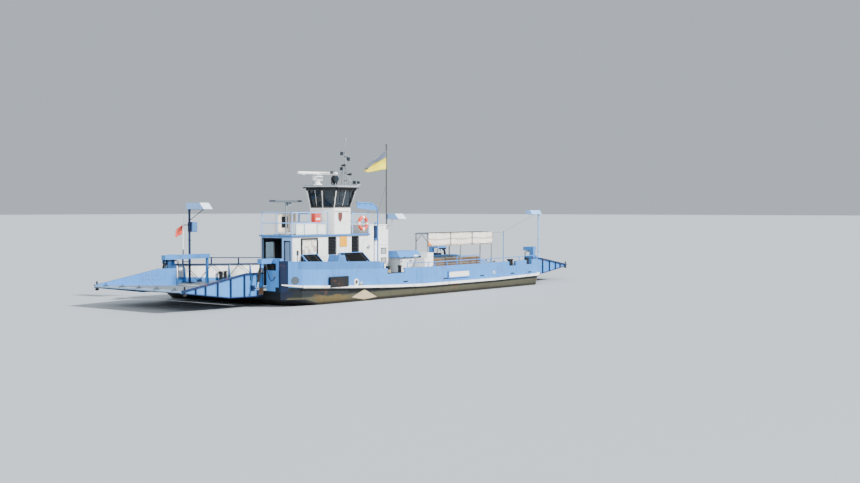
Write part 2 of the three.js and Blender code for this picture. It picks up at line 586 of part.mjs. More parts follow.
// Boards hung outside the near rails: x from and to, z from and to.
const BOARDS = {
  y: [HOUSE.near - 10, HOUSE.near + 14],
  places: [[-7700, -7220, 2960, 3420], [-7170, -6440, 2960, 3420], [-6390, -5860, 2960, 3400]],
};
const BOARD_CLIP = { inset: 60, half: 15, drop: 40 };
// Boxes on the rails: x from and to, y from, z from and to.
const RAIL_BOXES = [
  [-6520, -6140, UPPER.y0 - 10, 3460, 3850],
  [-7000, -6220, UPPER.y1 - 60, 3020, 3920],
  [-6130, -5880, UPPER.y1 - 60, 3420, 3900],
];
const RAIL_BOX_DEPTH = 200;

function railRun(points, heights) {
  const bars = [];
  for (let i = 1; i < points.length; i += 1) {
    for (const z of heights) bars.push(rod([...points[i - 1], z], [...points[i], z], RAILING.radius, 6));
  }
  const top = RAILING.top + RAILING.radius;
  for (const p of points) bars.push(rod([...p, HOUSE.roof + GAP], [...p, top], RAILING.radius + 2, 6));
  return join(bars);
}

function upperRailing() {
  const { x0, x1, y0, y1, joint } = UPPER;
  const corners = [[x1, y0], [joint, y0], [x0, y0], [x0, (y0 + y1) / 2], [x0, y1], [joint, y1], [x1, y1]];
  const run = railRun(corners, [RAILING.top, RAILING.middle]);
  const { inset, half, drop } = BOARD_CLIP;
  const boards = BOARDS.places.map(([xa, xb, za, zb]) => block([xa, xb], BOARDS.y, [za, zb]));
  const clips = BOARDS.places.flatMap(([xa, xb, , zb]) => [xa + inset, xb - inset].map((x) =>
    block([x - half, x + half], [BOARDS.y[0] + 5, y0 + 10], [zb - drop, RAILING.middle + 10])));
  const boxes = RAIL_BOXES.map(([xa, xb, y, za, zb]) => block([xa, xb], [y, y + RAIL_BOX_DEPTH], [za, zb]));
  return join(run, boards, boxes, clips);
}

piece("upper_railing_left", LIGHT_BLUE, upperRailing());

function rightRailing() {
  const { y0, y1 } = UPPER;
  const x0 = WHEELHOUSE.right + 60;
  const x1 = HOUSE.right - 30;
  // On the far side it runs on behind the wheelhouse, to the end of the left railing.
  return railRun([[x0, y0], [x1, y0], [x1, y1], [x0, y1], [UPPER.x1 + 80, y1]], [RAILING.top - 60, RAILING.middle]);
}

piece("upper_railing_right", LIGHT_BLUE, rightRailing());

// Wheelhouse: a base with cut corners, a window frame that leans outwards, an upright back wall with the door.
const BACK_DOOR = { x0: -5100, x1: -4500, z1: 4860, play: 8, thick: 44, frame: 110, pane: [3950, 4700] };
const BACK_HINGES = { heights: [3300, 4500], out: 26, radius: 16, half: 60 };
// Panes beside the back door: x from and to.
const BACK_PANES = [[-5490, -5200], [-4400, -4180]];
const CONSOLE = { x: [-5300, -4300], y: [-2450, -2000], z: [3830, 4010] };
const CONSOLE_LEG = { x: [-5000, -4600], y: [-2620, -2150] };

// A convex outline moved outwards by a distance, or inwards when it is negative.
function grown(points, by) {
  const edges = points.map(([x, y], i) => {
    const [u, v] = points[(i + 1) % points.length];
    const long = Math.hypot(u - x, v - y);
    const [nx, ny] = [(v - y) / long, (x - u) / long];
    return [nx, ny, nx * x + ny * y + by];
  });
  return edges.map(([a, b, c], i) => {
    const [d, e, f] = edges[(i + edges.length - 1) % edges.length];
    const turn = a * e - b * d;
    return [(c * e - b * f) / turn, (a * f - c * d) / turn];
  });
}

const outlineRing = (points, width, z0, z1) =>
  cut(sheet(points, "z", z0, z1), sheet(grown(points, -width), "z", z0 - 1, z1 + 1));

function wheelhouseBase() {
  const z0 = HOUSE.roof + GAP;
  const { inner } = WHEELHOUSE;
  const walls = outlineRing(SILL_OUTLINE, WINDOWS.wall, z0, WINDOWS.sill);
  const doorway = block([BACK_DOOR.x0, BACK_DOOR.x1], [inner - 100, inner + 10], [z0 + 60, WINDOWS.sill + 1]);
  const console = block(CONSOLE.x, CONSOLE.y, CONSOLE.z);
  const leg = block(CONSOLE_LEG.x, CONSOLE_LEG.y, [z0, CONSOLE.z[0] + 10]);
  return join(cut(walls, doorway), console, leg);
}

function wheelhouseFrame() {
  const { sill, head, wall, mullion } = WINDOWS;
  const sillRing = outlineRing(SILL_OUTLINE, wall + 10, sill + GAP, sill + wall);
  const headRing = outlineRing(HEAD_OUTLINE, wall + 10, head - wall, head);
  const feet = grown(SILL_OUTLINE, -mullion / 2 - 1);
  const heads = grown(HEAD_OUTLINE, -mullion / 2 - 1);
  const posts = feet.map((p, i) => rod([...p, sill + 20], [...heads[i], head - 20], mullion / 2, 8));
  const y = [WHEELHOUSE.inner - wall, WHEELHOUSE.inner];
  const corners = (outline) => [outline[4][0], outline[5][0]];
  const [lowRight, lowLeft] = corners(SILL_OUTLINE);
  const [highRight, highLeft] = corners(HEAD_OUTLINE);
  const wallEdge = [[lowLeft, sill + GAP], [lowRight, sill + GAP], [highRight, head], [highLeft, head]];
  const back = sheet(wallEdge, "y", ...y);
  const doorway = block([BACK_DOOR.x0, BACK_DOOR.x1], [y[0] - 40, y[1] + 10], [sill - 10, BACK_DOOR.z1]);
  const panes = BACK_PANES.map((x) => block(x, [y[0] - 10, y[1] + 10], [sill + 120, head - 120]));
  return cut(join(sillRing, headRing, posts, back), doorway, panes);
}

piece("wheelhouse_base", WHITE, wheelhouseBase());
piece("wheelhouse_window_frame", WHITE, wheelhouseFrame());
const ROOF_OUTLINE = grown(HEAD_OUTLINE, WHEELHOUSE_ROOF.overhang);
piece("wheelhouse_roof", WHITE, sheet(ROOF_OUTLINE, "z", WINDOWS.head + GAP, WHEELHOUSE_ROOF.top));

function backDoor() {
  const { x0, x1, z1, play, thick, frame } = BACK_DOOR;
  const { heights, out, radius, half } = BACK_HINGES;
  const y = WHEELHOUSE.inner;
  const leaf = block([x0 + play, x1 - play], [y + 4 - thick, y + 4], [HOUSE.roof + 80, z1 - play]);
  const pane = block([x0 + frame, x1 - frame], [y - 50, y + 10], BACK_DOOR.pane);
  const hingeX = x0 - 6;
  const hinges = heights.map((z) => rod([hingeX, y + out, z - half], [hingeX, y + out, z + half], radius, 10));
  const straps = heights.map((z) => block([hingeX, x0 + 100], [y + GAP, y + out + 6], [z - 25, z + 25]));
  const handle = rod([x1 - 60, y - 5, 3850], [x1 - 60, y + 45, 3850], 12, 8);
  return join(cut(leaf, pane), hinges, straps, handle);
}

piece("wheelhouse_door", WHITE, backDoor());

// On the wheelhouse's roof: the radar with its turning scanner, the searchlight and the mast.
const RADAR = { x: -5400, y: -1750, top: 5560, span: 2150, yaw: -10 };
const roofTop = WHEELHOUSE_ROOF.top + GAP;

piece("radar_pedestal", WHITE, join(
  cone([RADAR.x, RADAR.y, roofTop], [RADAR.x, RADAR.y, roofTop + 60], 210, 190, 16),
  cone([RADAR.x, RADAR.y, roofTop + 50], [RADAR.x, RADAR.y, roofTop + 240], 120, 100, 16),
  block([RADAR.x - 170, RADAR.x + 170], [RADAR.y - 150, RADAR.y + 150], [roofTop + 220, RADAR.top - 20]),
  rod([RADAR.x, RADAR.y, RADAR.top - 40], [RADAR.x, RADAR.y, RADAR.top], 60, 16),
));

const scannerMount = new THREE.Group();
scannerMount.position.set(RADAR.x, RADAR.y, RADAR.top + GAP);
scannerMount.rotation.z = (RADAR.yaw * Math.PI) / 180;
ferry.add(scannerMount);
const half = RADAR.span / 2;
piece("radar_scanner", WHITE, join(
  rod([0, 0, 0], [0, 0, 70], 55, 16),
  sheet([[-55, 60], [55, 60], [70, 100], [55, 150], [-40, 165], [-70, 110]], "x", -half, half),
), scannerMount);

const LIGHT = { x: -4800, y: -2200 };
piece("searchlight", BLACK, join(
  rod([LIGHT.x, LIGHT.y, roofTop], [LIGHT.x, LIGHT.y, roofTop + 125], 50, 12),
  block([LIGHT.x - 150, LIGHT.x + 150], [LIGHT.y - 30, LIGHT.y + 30], [roofTop + 111, roofTop + 173]),
  rod([LIGHT.x, LIGHT.y - 130, roofTop + 290], [LIGHT.x, LIGHT.y + 100, roofTop + 290], 150, 20),
));

const MAST = { x: -4300, y: -2420, top: 6650, tip: 7180 };
// Lamps and horns on the mast: x and y from its middle, z, radius, height.
const MAST_LAMPS = [
  [-230, 0, 6480, 60, 170], [200, 0, 6240, 70, 190], [-260, 0, 5800, 60, 160],
  [250, -330, 5180, 60, 170], [300, -530, 5180, 55, 150],
];
// The plate that the two low lamps stand on, from the mast's middle.
const LAMP_PLATE = { x: [150, 380], y: [-600, -250], thick: 70 };

function mast() {
  const { x, y, top, tip } = MAST;
  const parts = [
    rod([x, y, roofTop], [x, y, top], 34, 10),
    rod([x, y, top - 10], [x, y, tip], 14, 8),
    rod([x, y, tip - 30], [x, y, tip + 90], 50, 12),
    block([x - 120, x + 120], [y - 120, y + 120], [roofTop, roofTop + 20]),
    rod([x + 250, y - 300, roofTop + 40], [x, y, roofTop + 500], 18, 6),
    block(LAMP_PLATE.x.map((v) => x + v), LAMP_PLATE.y.map((v) => y + v), [roofTop, roofTop + LAMP_PLATE.thick]),
  ];
  for (const [dx, dy, z, radius, height] of MAST_LAMPS) {
    parts.push(rod([x + dx, y + dy, z], [x + dx, y + dy, z + height], radius, 12));
    if (z > 5400) parts.push(rod([x, y, z + 20], [x + dx, y + dy, z + 20], 16, 6));
  }
  return join(parts);
}

piece("mast", GREY, mast());

// Flagstaff at the casing, with its flag.
const STAFF = { x: -1500, y: -2480, top: 7040, foot: 2500 };
piece("flagstaff", GREY, join(
  rod([STAFF.x, STAFF.y, STAFF.foot], [STAFF.x, STAFF.y, STAFF.top], 28, 10),
  ball([STAFF.x, STAFF.y, STAFF.top + 20], 50),
  [2600, 3200].map((z) => block([CASING.right + GAP, STAFF.x], [STAFF.y - 30, STAFF.y + 30], [z, z + 50])),
));
// The flag's corners: how far from the staff's side, how far below its upper edge.
const FLAG = { hoist: STAFF.x - 26.9, top: STAFF.top - 250, corners: [[0, 0], [1400, 840], [1340, 1020], [0, 860]] };
piece("flag", YELLOW, sheet(
  FLAG.corners.map(([out, down]) => [FLAG.hoist - out, FLAG.top - down]), "y", STAFF.y - 12, STAFF.y + 12,
));

// Lamp posts: a post or a bent pipe with a hood, which is a box whose near end slopes back.
function hood([x0, x1], [y0, y1], [z0, z1], slope) {
  const end = [[y0, z0], [y1, z0], [y1, z1], [y0 + slope, z1]];
  return sheet(end, "x", x0, x1);
}

// The far mast at the left end carries a hood and a blue box, and its small flag hangs from a staff beside it.
const FAR_MAST = { x: -8120, y: 3820, top: 4200, radius: 55 };
const FAR_HOOD = { x: [-8190, -7680], y: [2730, 3950], z: [4050, 4330], slope: 280 };
const FAR_BOX = { x: [-8060, -7760], y: [3700, 3940], z: [3000, 3450] };
const FAR_STAFF = { x: -8500, foot: 1500, top: 3750, radius: 26, braces: [1600, 3300] };
piece("lamp_post_far_left", NAVY, join(
  rod([FAR_MAST.x, FAR_MAST.y, DECK + GAP], [FAR_MAST.x, FAR_MAST.y, FAR_MAST.top], FAR_MAST.radius, 10),
  hood(FAR_HOOD.x, FAR_HOOD.y, FAR_HOOD.z, FAR_HOOD.slope),
  block([FAR_MAST.x, FAR_BOX.x[1]], FAR_BOX.y, FAR_BOX.z),
  rod([FAR_STAFF.x, FAR_MAST.y, FAR_STAFF.foot], [FAR_STAFF.x, FAR_MAST.y, FAR_STAFF.top], FAR_STAFF.radius, 8),
  FAR_STAFF.braces.map((z) => block([FAR_STAFF.x, FAR_MAST.x], [FAR_MAST.y - 20, FAR_MAST.y + 20], [z, z + 40])),
));
// The small flag's corners: how far from its staff's side, z.
const SMALL_FLAG = [[0, 3350], [440, 3080], [380, 2760], [0, 2900]];
const SMALL_HOIST = FAR_STAFF.x - FAR_STAFF.radius - GAP;
piece("small_flag", RED, sheet(
  SMALL_FLAG.map(([out, z]) => [SMALL_HOIST - out, z]), "y", FAR_MAST.y - 12, FAR_MAST.y + 12,
));

const UPPER_LAMP = { x: -6950, y: -1300, top: 4400, reach: 800, depth: 200, thick: 70 };
const UPPER_HORN = { x: [80, 260], half: 70, height: 200 };
piece("lamp_post_upper", GREY, join(
  rod([UPPER_LAMP.x, UPPER_LAMP.y, HOUSE.roof + GAP], [UPPER_LAMP.x, UPPER_LAMP.y, UPPER_LAMP.top], 32, 8),
  hood([UPPER_LAMP.x - UPPER_LAMP.reach, UPPER_LAMP.x + UPPER_LAMP.reach],
    [UPPER_LAMP.y - UPPER_LAMP.depth, UPPER_LAMP.y + UPPER_LAMP.depth],
    [UPPER_LAMP.top - 30, UPPER_LAMP.top - 30 + UPPER_LAMP.thick], 60),
  block(UPPER_HORN.x.map((v) => UPPER_LAMP.x + v), [UPPER_LAMP.y - UPPER_HORN.half, UPPER_LAMP.y + UPPER_HORN.half],
    [UPPER_LAMP.top - UPPER_HORN.height, UPPER_LAMP.top - 10]),
));

// The arched pipe on the casing carries a hood towards the wheelhouse.
const ARCH = { x: -2500, y: -2800, radius: 34, clamps: [1500, 2600] };
// Points that the pipe passes through, and the corners of the plate under it: x from the pipe's upright, z.
const ARCH_LINE = [[0, 1100], [0, 3700], [0, 3950], [-120, 4180], [-400, 4300], [-1000, 4330], [-1450, 4360]];
const ARCH_PLATE = [[-180, 3990], [-60, 4050], [-330, 4290], [-1400, 4370], [-1450, 4100]];
piece("lamp_post_casing", LIGHT_BLUE, join(
  pipe(ARCH_LINE.map(([dx, z]) => [ARCH.x + dx, ARCH.y, z]), ARCH.radius, 16, 6),
  sheet(ARCH_PLATE.map(([dx, z]) => [ARCH.x + dx, z]), "y", ARCH.y - 15, ARCH.y + 15),
  ARCH.clamps.map((z) => block([ARCH.x - 40, ARCH.x + 40], [ARCH.y, HOUSE.near - GAP], [z, z + 60])),
));

const END_POST = { x: 9350, y: -3950, top: 3900, radius: 45, foot: 1480 };
const END_HOOD = { x: [8500, 9420], y: [-4100, -3700], z: [3770, 3970], slope: 120 };
const END_FOOT_Z = bulwarkTop(HALF_LENGTH) + PILLAR.rightRise + GAP;
piece("lamp_post_near_right", GREY, join(
  rod([END_POST.x, END_POST.y, END_POST.foot], [END_POST.x, END_POST.y, END_POST.top], END_POST.radius, 10),
  hood(END_HOOD.x, END_HOOD.y, END_HOOD.z, END_HOOD.slope),
  block([END_POST.x - 100, END_POST.x + 100], [END_POST.y - 80, END_POST.y + 80], [END_FOOT_Z, END_POST.foot + 20]),
));

// Pipe rail on the near bulwark, with the tall post that guides a stay.
const NEAR_RAIL = { x0: -1900, x1: 8900, y: -HALF_BEAM + 60, height: 210, radius: 20 };
// Posts: x, and how high above the bulwark.
const NEAR_POSTS = [
  [-1900, 210], [-350, 210], [150, 210], [1100, 210], [1900, 430],
  [3800, 430], [4700, 210], [5850, 1570], [7300, 210], [8900, 210],
];

function nearRail() {
  const { x0, x1, y, height, radius } = NEAR_RAIL;
  const z = (x) => bulwarkTop(x) + height;
  const knots = [x0, 0, 5000, x1];
  const bars = knots.slice(1).map((x, i) => rod([knots[i], y, z(knots[i])], [x, y, z(x)], radius, 6));
  const posts = NEAR_POSTS.map(([x, rise]) =>
    rod([x, y, bulwarkTop(x) - 20], [x, y, bulwarkTop(x) + rise + radius], radius + 3, 6));
  const upper = rod([1900, y, bulwarkTop(1900) + 430], [3800, y, bulwarkTop(3800) + 430], radius, 6);
  return join(bars, posts, upper);
}


// The far bulwark's dark rail on its posts, with a knee where it levels out.
const FAR_RAIL = { left: [-8300, 1810], knee: [-1420, 1580], right: [8900, 1600], step: 1720, radius: 22 };

function farRail() {
  const y = HALF_BEAM - 60;
  const { left, knee, right, step, radius } = FAR_RAIL;
  const at = (x) => {
    const [[xa, za], [xb, zb]] = x < knee[0] ? [left, knee] : [knee, right];
    return za + ((zb - za) * (x - xa)) / (xb - xa);
  };
  const bars = [[left, knee], [knee, right]].map(([p, q]) => rod([p[0], y, p[1]], [q[0], y, q[1]], radius, 6));
  const posts = [];
  for (let x = left[0]; x <= right[0]; x += step) {
    posts.push(block([x - 26, x + 26], [y - 26, y + 26], [bulwarkTop(x) - 20, at(x) + 26]));
  }
  return join(bars, posts);
}

piece("bulwark_near", LIGHT_BLUE, join(bulwark(-1), nearRail()));
piece("bulwark_far", WHITE, join(bulwark(1), farRail()));

// Passenger shelter on the deck right of the house: posts, a thin roof, a bench, and hanging tarpaulins.
const SHELTER = { x0: 600, x1: 6000, y0: -3300, y1: -2500, top: 2830, roof: 40, skirt: 2250, post: 32 };
const BENCH = { seat: 1080, thick: 50, depth: 440, back: 1600, leg: 25 };
// The box on the deck behind the bench.
const DECK_BOX = { x: [2750, 4250], y: -1700, top: 1680 };

function shelter() {
  const { x0, x1, y0, y1, top } = SHELTER;
  const middle = (x0 + x1) / 2;
  const inset = 40;
  const posts = [x0 + inset, middle, x1 - inset].flatMap((x) =>
    [y0 + inset, y1 - inset].map((y) => rod([x, y, DECK + GAP], [x, y, top], SHELTER.post, 8)));
  const roof = block([x0, x1], [y0, y1], [top, top + SHELTER.roof]);
  const long = [x0 + inset, x1 - inset];
  const backY = y1 - 60;
  const bench = block(long, [backY - BENCH.depth, backY], [BENCH.seat, BENCH.seat + BENCH.thick]);
  const back = block(long, [backY, backY + 40], [BENCH.seat, BENCH.back]);
  const legs = [x0 + 300, middle, x1 - 300].map((x) =>
    block([x - BENCH.leg, x + BENCH.leg], [backY - BENCH.depth + 20, backY], [DECK + GAP, BENCH.seat + 10]));
  const box = block(DECK_BOX.x, [backY + 30, DECK_BOX.y], [DECK + GAP, DECK_BOX.top]);
  return join(posts, roof, bench, back, legs, box);
}

piece("shelter_frame", GREY, shelter());

// Three tarpaulins side by side, laced to one another by narrow strips.
function tarpaulins() {
  const width = (SHELTER.x1 - SHELTER.x0) / 3;
  const y = [SHELTER.y0 - 40, SHELTER.y0 - GAP];
  const sheets = [0, 1, 2].map((i) =>
    block([SHELTER.x0 + i * width + 25, SHELTER.x0 + (i + 1) * width - 25], y, [SHELTER.skirt, SHELTER.top + 40]));
  const laces = [1, 2].map((i) => {
    const x = SHELTER.x0 + i * width;
    return block([x - 30, x + 30], y, [SHELTER.top, SHELTER.top + 30]);
  });
  return join(sheets, laces);
}

piece("shelter_tarpaulins", CANVAS, tarpaulins());

// Lockers between the house and the shelter.
const LOCKER_BOXES = [
  // x from and to, y from and to, top
  [[-1300, 250], [-3150, -2100], 1780],
  [[-200, 100], [-3750, -3140], 1700],
  [[80, 520], [-3700, -3300], 1950],
];
// Corners of the tarpaulin over the first locker: x, y, z.
const LOCKER_COVER = [
  [-1450, -3250, 1770], [350, -3250, 1770], [-1450, -2000, 1770], [350, -2000, 1770],
  [-1300, -2950, 2060], [200, -2950, 2060], [-1300, -2300, 2060], [200, -2300, 2060],
];
const lockerBoxes = LOCKER_BOXES.map(([x, y, top]) => block(x, y, [DECK + GAP, top]));
piece("lockers", LIGHT_BLUE, join(lockerBoxes, hullOf(LOCKER_COVER)));

// Lifebuoy and the two boxes on the upper railings.
function torus([x, y, z], across, tube) {
  const ring = new THREE.TorusGeometry(across, tube, 8, 24);
  ring.rotateX(Math.PI / 2);
  ring.translate(x, y, z);
  return solid(ring);
}

// The lifebuoy touches the railing behind it, and the gas bottle stands on a bracket at the casing's right wall.
const LIFEBUOY = { x: -3430, y: HOUSE.near - 69.4, z: 3400, ring: 270, tube: 80 };
piece("lifebuoy", ORANGE, torus([LIFEBUOY.x, LIFEBUOY.y, LIFEBUOY.z], LIFEBUOY.ring, LIFEBUOY.tube));
const BOTTLE = { x: CASING.right + 160, y: -2300, z0: 2600, z1: 3300, radius: 140 };
piece("gas_canister", YELLOW, join(
  rod([BOTTLE.x, BOTTLE.y, BOTTLE.z0], [BOTTLE.x, BOTTLE.y, BOTTLE.z1], BOTTLE.radius, 16),
  block([CASING.right + GAP, BOTTLE.x], [BOTTLE.y - 40, BOTTLE.y + 40], [2900, 2960]),
));

// Thrusters under the raked ends: each leg turns, and so does its screw.
const SCREW = { x: 350, depth: -1150, radius: 420, hub: 110, root: 50, blades: 4, thick: 24, width: 190, twist: 0.6 };
const LEG = { radius: 90, flange: 170, flangeHeight: 40, pod: 150, nose: -300, tail: 260 };

function thrusterLeg() {
  const { depth } = SCREW;
  const top = [0, 0, THRUSTER_COLLAR.z - GAP];
  return join(
    rod([0, 0, depth], top, LEG.radius, 12),
    rod([0, 0, THRUSTER_COLLAR.z - LEG.flangeHeight], top, LEG.flange, 20),
    ball([0, 0, depth], LEG.pod, 12, 7),
    cone([LEG.nose, 0, depth], [LEG.tail, 0, depth], 70, 120, 14),
  );
}

function screw() {
  const hub = cone([LEG.tail + GAP, 0, SCREW.depth], [LEG.tail + 200, 0, SCREW.depth], SCREW.hub, 60, 14);
  const long = SCREW.radius - SCREW.root - 10;
  const blades = [];
  for (let i = 0; i < SCREW.blades; i += 1) {
    const blade = new THREE.BoxGeometry(SCREW.thick, SCREW.width, long);
    blade.rotateZ(SCREW.twist);
    blade.translate(SCREW.x, 0, long / 2 + SCREW.root);
    blade.rotateX((i * 2 * Math.PI) / SCREW.blades);
    blade.translate(0, 0, SCREW.depth);
    blades.push(solid(blade));
  }
  return join(hub, blades);
}

for (const [name, x, y, way] of THRUSTERS) {
  const well = new THREE.Group();
  well.position.set(x, y, 0);
  well.rotation.z = way < 0 ? 0 : Math.PI;
  ferry.add(well);
  piece(`thruster_leg_${name}`, GREY, thrusterLeg(), well);
  piece(`thruster_screw_${name}`, BRONZE, screw(), well);
}

export default ferry;
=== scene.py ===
"""Passenger ferry of a river crossing: how its hull, ramps, house and rig look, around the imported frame."""

import math
import random
import re
from functools import cache

import bmesh
import bpy
from bpy.props import FloatProperty, FloatVectorProperty, PointerProperty
from mathutils import Matrix, Vector


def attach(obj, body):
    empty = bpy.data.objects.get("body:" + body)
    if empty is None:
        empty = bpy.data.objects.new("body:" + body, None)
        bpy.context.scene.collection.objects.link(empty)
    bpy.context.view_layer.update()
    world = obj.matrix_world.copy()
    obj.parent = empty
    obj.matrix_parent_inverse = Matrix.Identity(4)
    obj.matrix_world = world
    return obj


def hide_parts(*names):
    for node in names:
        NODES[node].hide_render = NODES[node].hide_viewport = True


bl_info = {
    "name": "Passenger ferry",
    "version": (1, 0, 0),
    "blender": (4, 5, 0),
    "location": "View3D > Sidebar > Ferry",
    "description": "Dresses the frame of a double-ended river ferry",
    "category": "Object",
}

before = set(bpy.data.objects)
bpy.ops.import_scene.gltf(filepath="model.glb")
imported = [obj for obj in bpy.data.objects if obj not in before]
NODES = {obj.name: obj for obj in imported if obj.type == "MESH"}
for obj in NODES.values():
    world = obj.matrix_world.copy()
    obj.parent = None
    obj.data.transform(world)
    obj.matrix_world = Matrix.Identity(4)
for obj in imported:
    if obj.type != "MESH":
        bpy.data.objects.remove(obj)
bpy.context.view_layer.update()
ENDS = ((-1, "left"), (1, "right"))
SIDES = ((-1, "near"), (1, "far"))


def tint(code):
    """A colour as the shaders take it, from its six digits."""
    parts = [int(code[i : i + 2], 16) / 255 for i in (0, 2, 4)]
    return tuple(c / 12.92 if c <= 0.04045 else ((c + 0.055) / 1.055) ** 2.4 for c in parts)


def colour_prop(name, code, description):
    return FloatVectorProperty(
        name=name, description=description, subtype="COLOR", size=3, min=0, max=1, default=tint(code)
    )


def length_prop(name, metres, description):
    return FloatProperty(name=name, description=description, unit="LENGTH", default=metres)


class FerryColours(bpy.types.PropertyGroup):
    light_blue: colour_prop("Light blue", "4785C8", "Bulwarks, ramps, railings and lockers")
    # Navy on the corner pillars' end faces is painted shade.
    navy: colour_prop("Navy", "16294D", "Ribs, rails and the faces of the corner pillars")
    white: colour_prop("White", "F2F2EE", "House, wheelhouse and rub rails")
    deck: colour_prop("Deck", "6F7F8C", "Walked and driven surfaces")
    orange: colour_prop("Orange", "DE2A04", "Rescue gear")
    yellow: colour_prop("Yellow", "F0A60C", "Panel and gas bottle")
    canvas: colour_prop("Canvas", "F0E4D6", "Tarpaulins of the shelter")
    rust: colour_prop("Rust", "7A4A2B", "Worn edges and stains")
    silt: colour_prop("Silt", "8A7656", "Dirt that the river leaves at the waterline")
    floor: colour_prop("Floor", "A9B0B6", "Studio floor at the waterline")


class FerrySizes(bpy.types.PropertyGroup):
    eye_height: length_prop("Eye height", 4.1, "Height of the camera above the water")
    plate_step: length_prop("Plate step", 1.38, "Distance between the welds of the side plating")
    tread_step: length_prop("Tread step", 0.3, "Distance between the tread strips of the ramps")
    rib_step: length_prop("Roof rib step", 0.2, "Distance between the ribs of the shelter's roof")


def colours():
    return bpy.context.scene.ferry_colours


def sizes():
    return bpy.context.scene.ferry_sizes


# The hull's lines rise along a curve to the left and along a straight line to the right.
LIFT_LEFT, LIFT_POWER, LEFT_FROM = 0.0171, 1.4, -0.5
LIFT_RIGHT, RIGHT_FROM = 0.08 / 4.65, 5.0


def sheer(x):
    """Rise of the hull's lines towards its ends."""
    if x < LEFT_FROM:
        return LIFT_LEFT * (LEFT_FROM - x) ** LIFT_POWER
    return LIFT_RIGHT * max(x - RIGHT_FROM, 0.0)


def shade(colour, factor):
    return tuple(min(1.0, c * factor) for c in colour)


def hue(colour):
    """A colour from its property's name or its six digits; a pair shades its first by its second."""
    if isinstance(colour, str):
        return tuple(getattr(colours(), colour)) if hasattr(colours(), colour) else tint(colour)
    return shade(hue(colour[0]), colour[1]) if len(colour) == 2 else colour


class Finish:
    """A material and the few kinds of node that the ferry's finishes are made of."""

    def __init__(self, name, rough=0.5, metal=0.0):
        self.material = bpy.data.materials.new(name)
        self.material.use_nodes = True
        self.tree = self.material.node_tree
        self.shader = self.tree.nodes["Principled BSDF"]
        self.coords = self.tree.nodes.new("ShaderNodeTexCoord")
        self.place = self.coords.outputs["Object"]
        self.axes = {}
        self.bumped = None
        self.set(Roughness=rough, Metallic=metal)

    def set(self, **values):
        """Feeds the shader's sockets, whose names are given with underscores."""
        for name, value in values.items():
            self.feed(self.shader.inputs[name.replace("_", " ")], value)

    def feed(self, target, value):
        """Puts a number, a vector or a colour in a socket, or links a node's output to it."""
        if isinstance(value, bpy.types.NodeSocket):
            self.tree.links.new(value, target)
        else:
            target.default_value = (*hue(value), 1.0) if target.type == "RGBA" else value

    def node(self, kind, inputs, output=0, **settings):
        made = self.tree.nodes.new(f"ShaderNode{kind}")
        for name, value in settings.items():
            setattr(made, name, value)
        for socket, value in inputs.items():
            self.feed(made.inputs[socket], value)
        return made.outputs[output]

    def calc(self, operation, a, b=0.0):
        return self.node("Math", {0: a, 1: b}, operation=operation)

    def times(self, a, b):
        return self.calc("MULTIPLY", a, b)

    def plus(self, a, b):
        return self.calc("ADD", a, b)

    def stretched(self, stretch):
        return self.node("Mapping", {"Vector": self.place, "Scale": stretch}) if stretch else self.place

    def noise(self, scale, detail=3.0, stretch=None, rough=0.5):
        inputs = {"Vector": self.stretched(stretch), "Scale": scale, "Detail": detail, "Roughness": rough}
        return self.node("TexNoise", inputs)

    def cells(self, scale, stretch=None):
        return self.node("TexVoronoi", {"Vector": self.stretched(stretch), "Scale": scale}, "Distance")

    def waves(self, scale, axis, distortion=0.0, place=None):
        inputs = {"Vector": place or self.place, "Scale": scale, "Distortion": distortion}
        return self.node("TexWave", inputs, "Fac", bands_direction=axis)

    def spread(self, value, low, high, to_low=0.0, to_high=1.0):
        """The value's range from low to high, laid out over another range."""
        return self.node("MapRange", dict(enumerate((value, low, high, to_low, to_high))))

    def mix(self, share, a, b, blend="MIX"):
        return self.node("Mix", {0: share, 6: a, 7: b}, 2, data_type="RGBA", blend_type=blend)

    def axis(self, name):
        """x, y or z, s for the height over the sheer line, or n with a letter for the face's direction."""
        if name not in self.axes:
            self.axes[name] = self.sheer_height() if name == "s" else self.part(name)
        return self.axes[name]

    def part(self, name):
        source = self.coords.outputs["Normal"] if name[0] == "n" else self.place
        return self.node("SeparateXYZ", {0: source}, "xyz".index(name[-1]))

    def sheer_height(self):
        x = self.axis("x")
        left = self.calc("POWER", self.calc("MAXIMUM", self.calc("SUBTRACT", LEFT_FROM, x)), LIFT_POWER)
        right = self.calc("MAXIMUM", self.calc("SUBTRACT", x, RIGHT_FROM))
        rise = self.plus(self.times(left, LIFT_LEFT), self.times(right, LIFT_RIGHT))
        return self.calc("SUBTRACT", self.axis("z"), rise)

    def within(self, limits, soft=0.004):
        """One where every limit of a text such as "x>-8 x<-6 nz>0.6" holds, and nought elsewhere."""
        inside = None
        for name, sign, edge in re.findall(r"(\w+)([<>])(\S+)", limits):
            reach = soft if sign == ">" else -soft
            step = self.spread(self.axis(name), float(edge) - reach, float(edge) + reach)
            inside = step if inside is None else self.times(inside, step)
        return inside

    def bump(self, height, strength=0.3, distance=0.01):
        inputs = {"Strength": strength, "Distance": distance, "Height": height}
        if self.bumped is not None:
            inputs["Normal"] = self.bumped
        self.bumped = self.node("Bump", inputs)
        self.set(Normal=self.bumped)


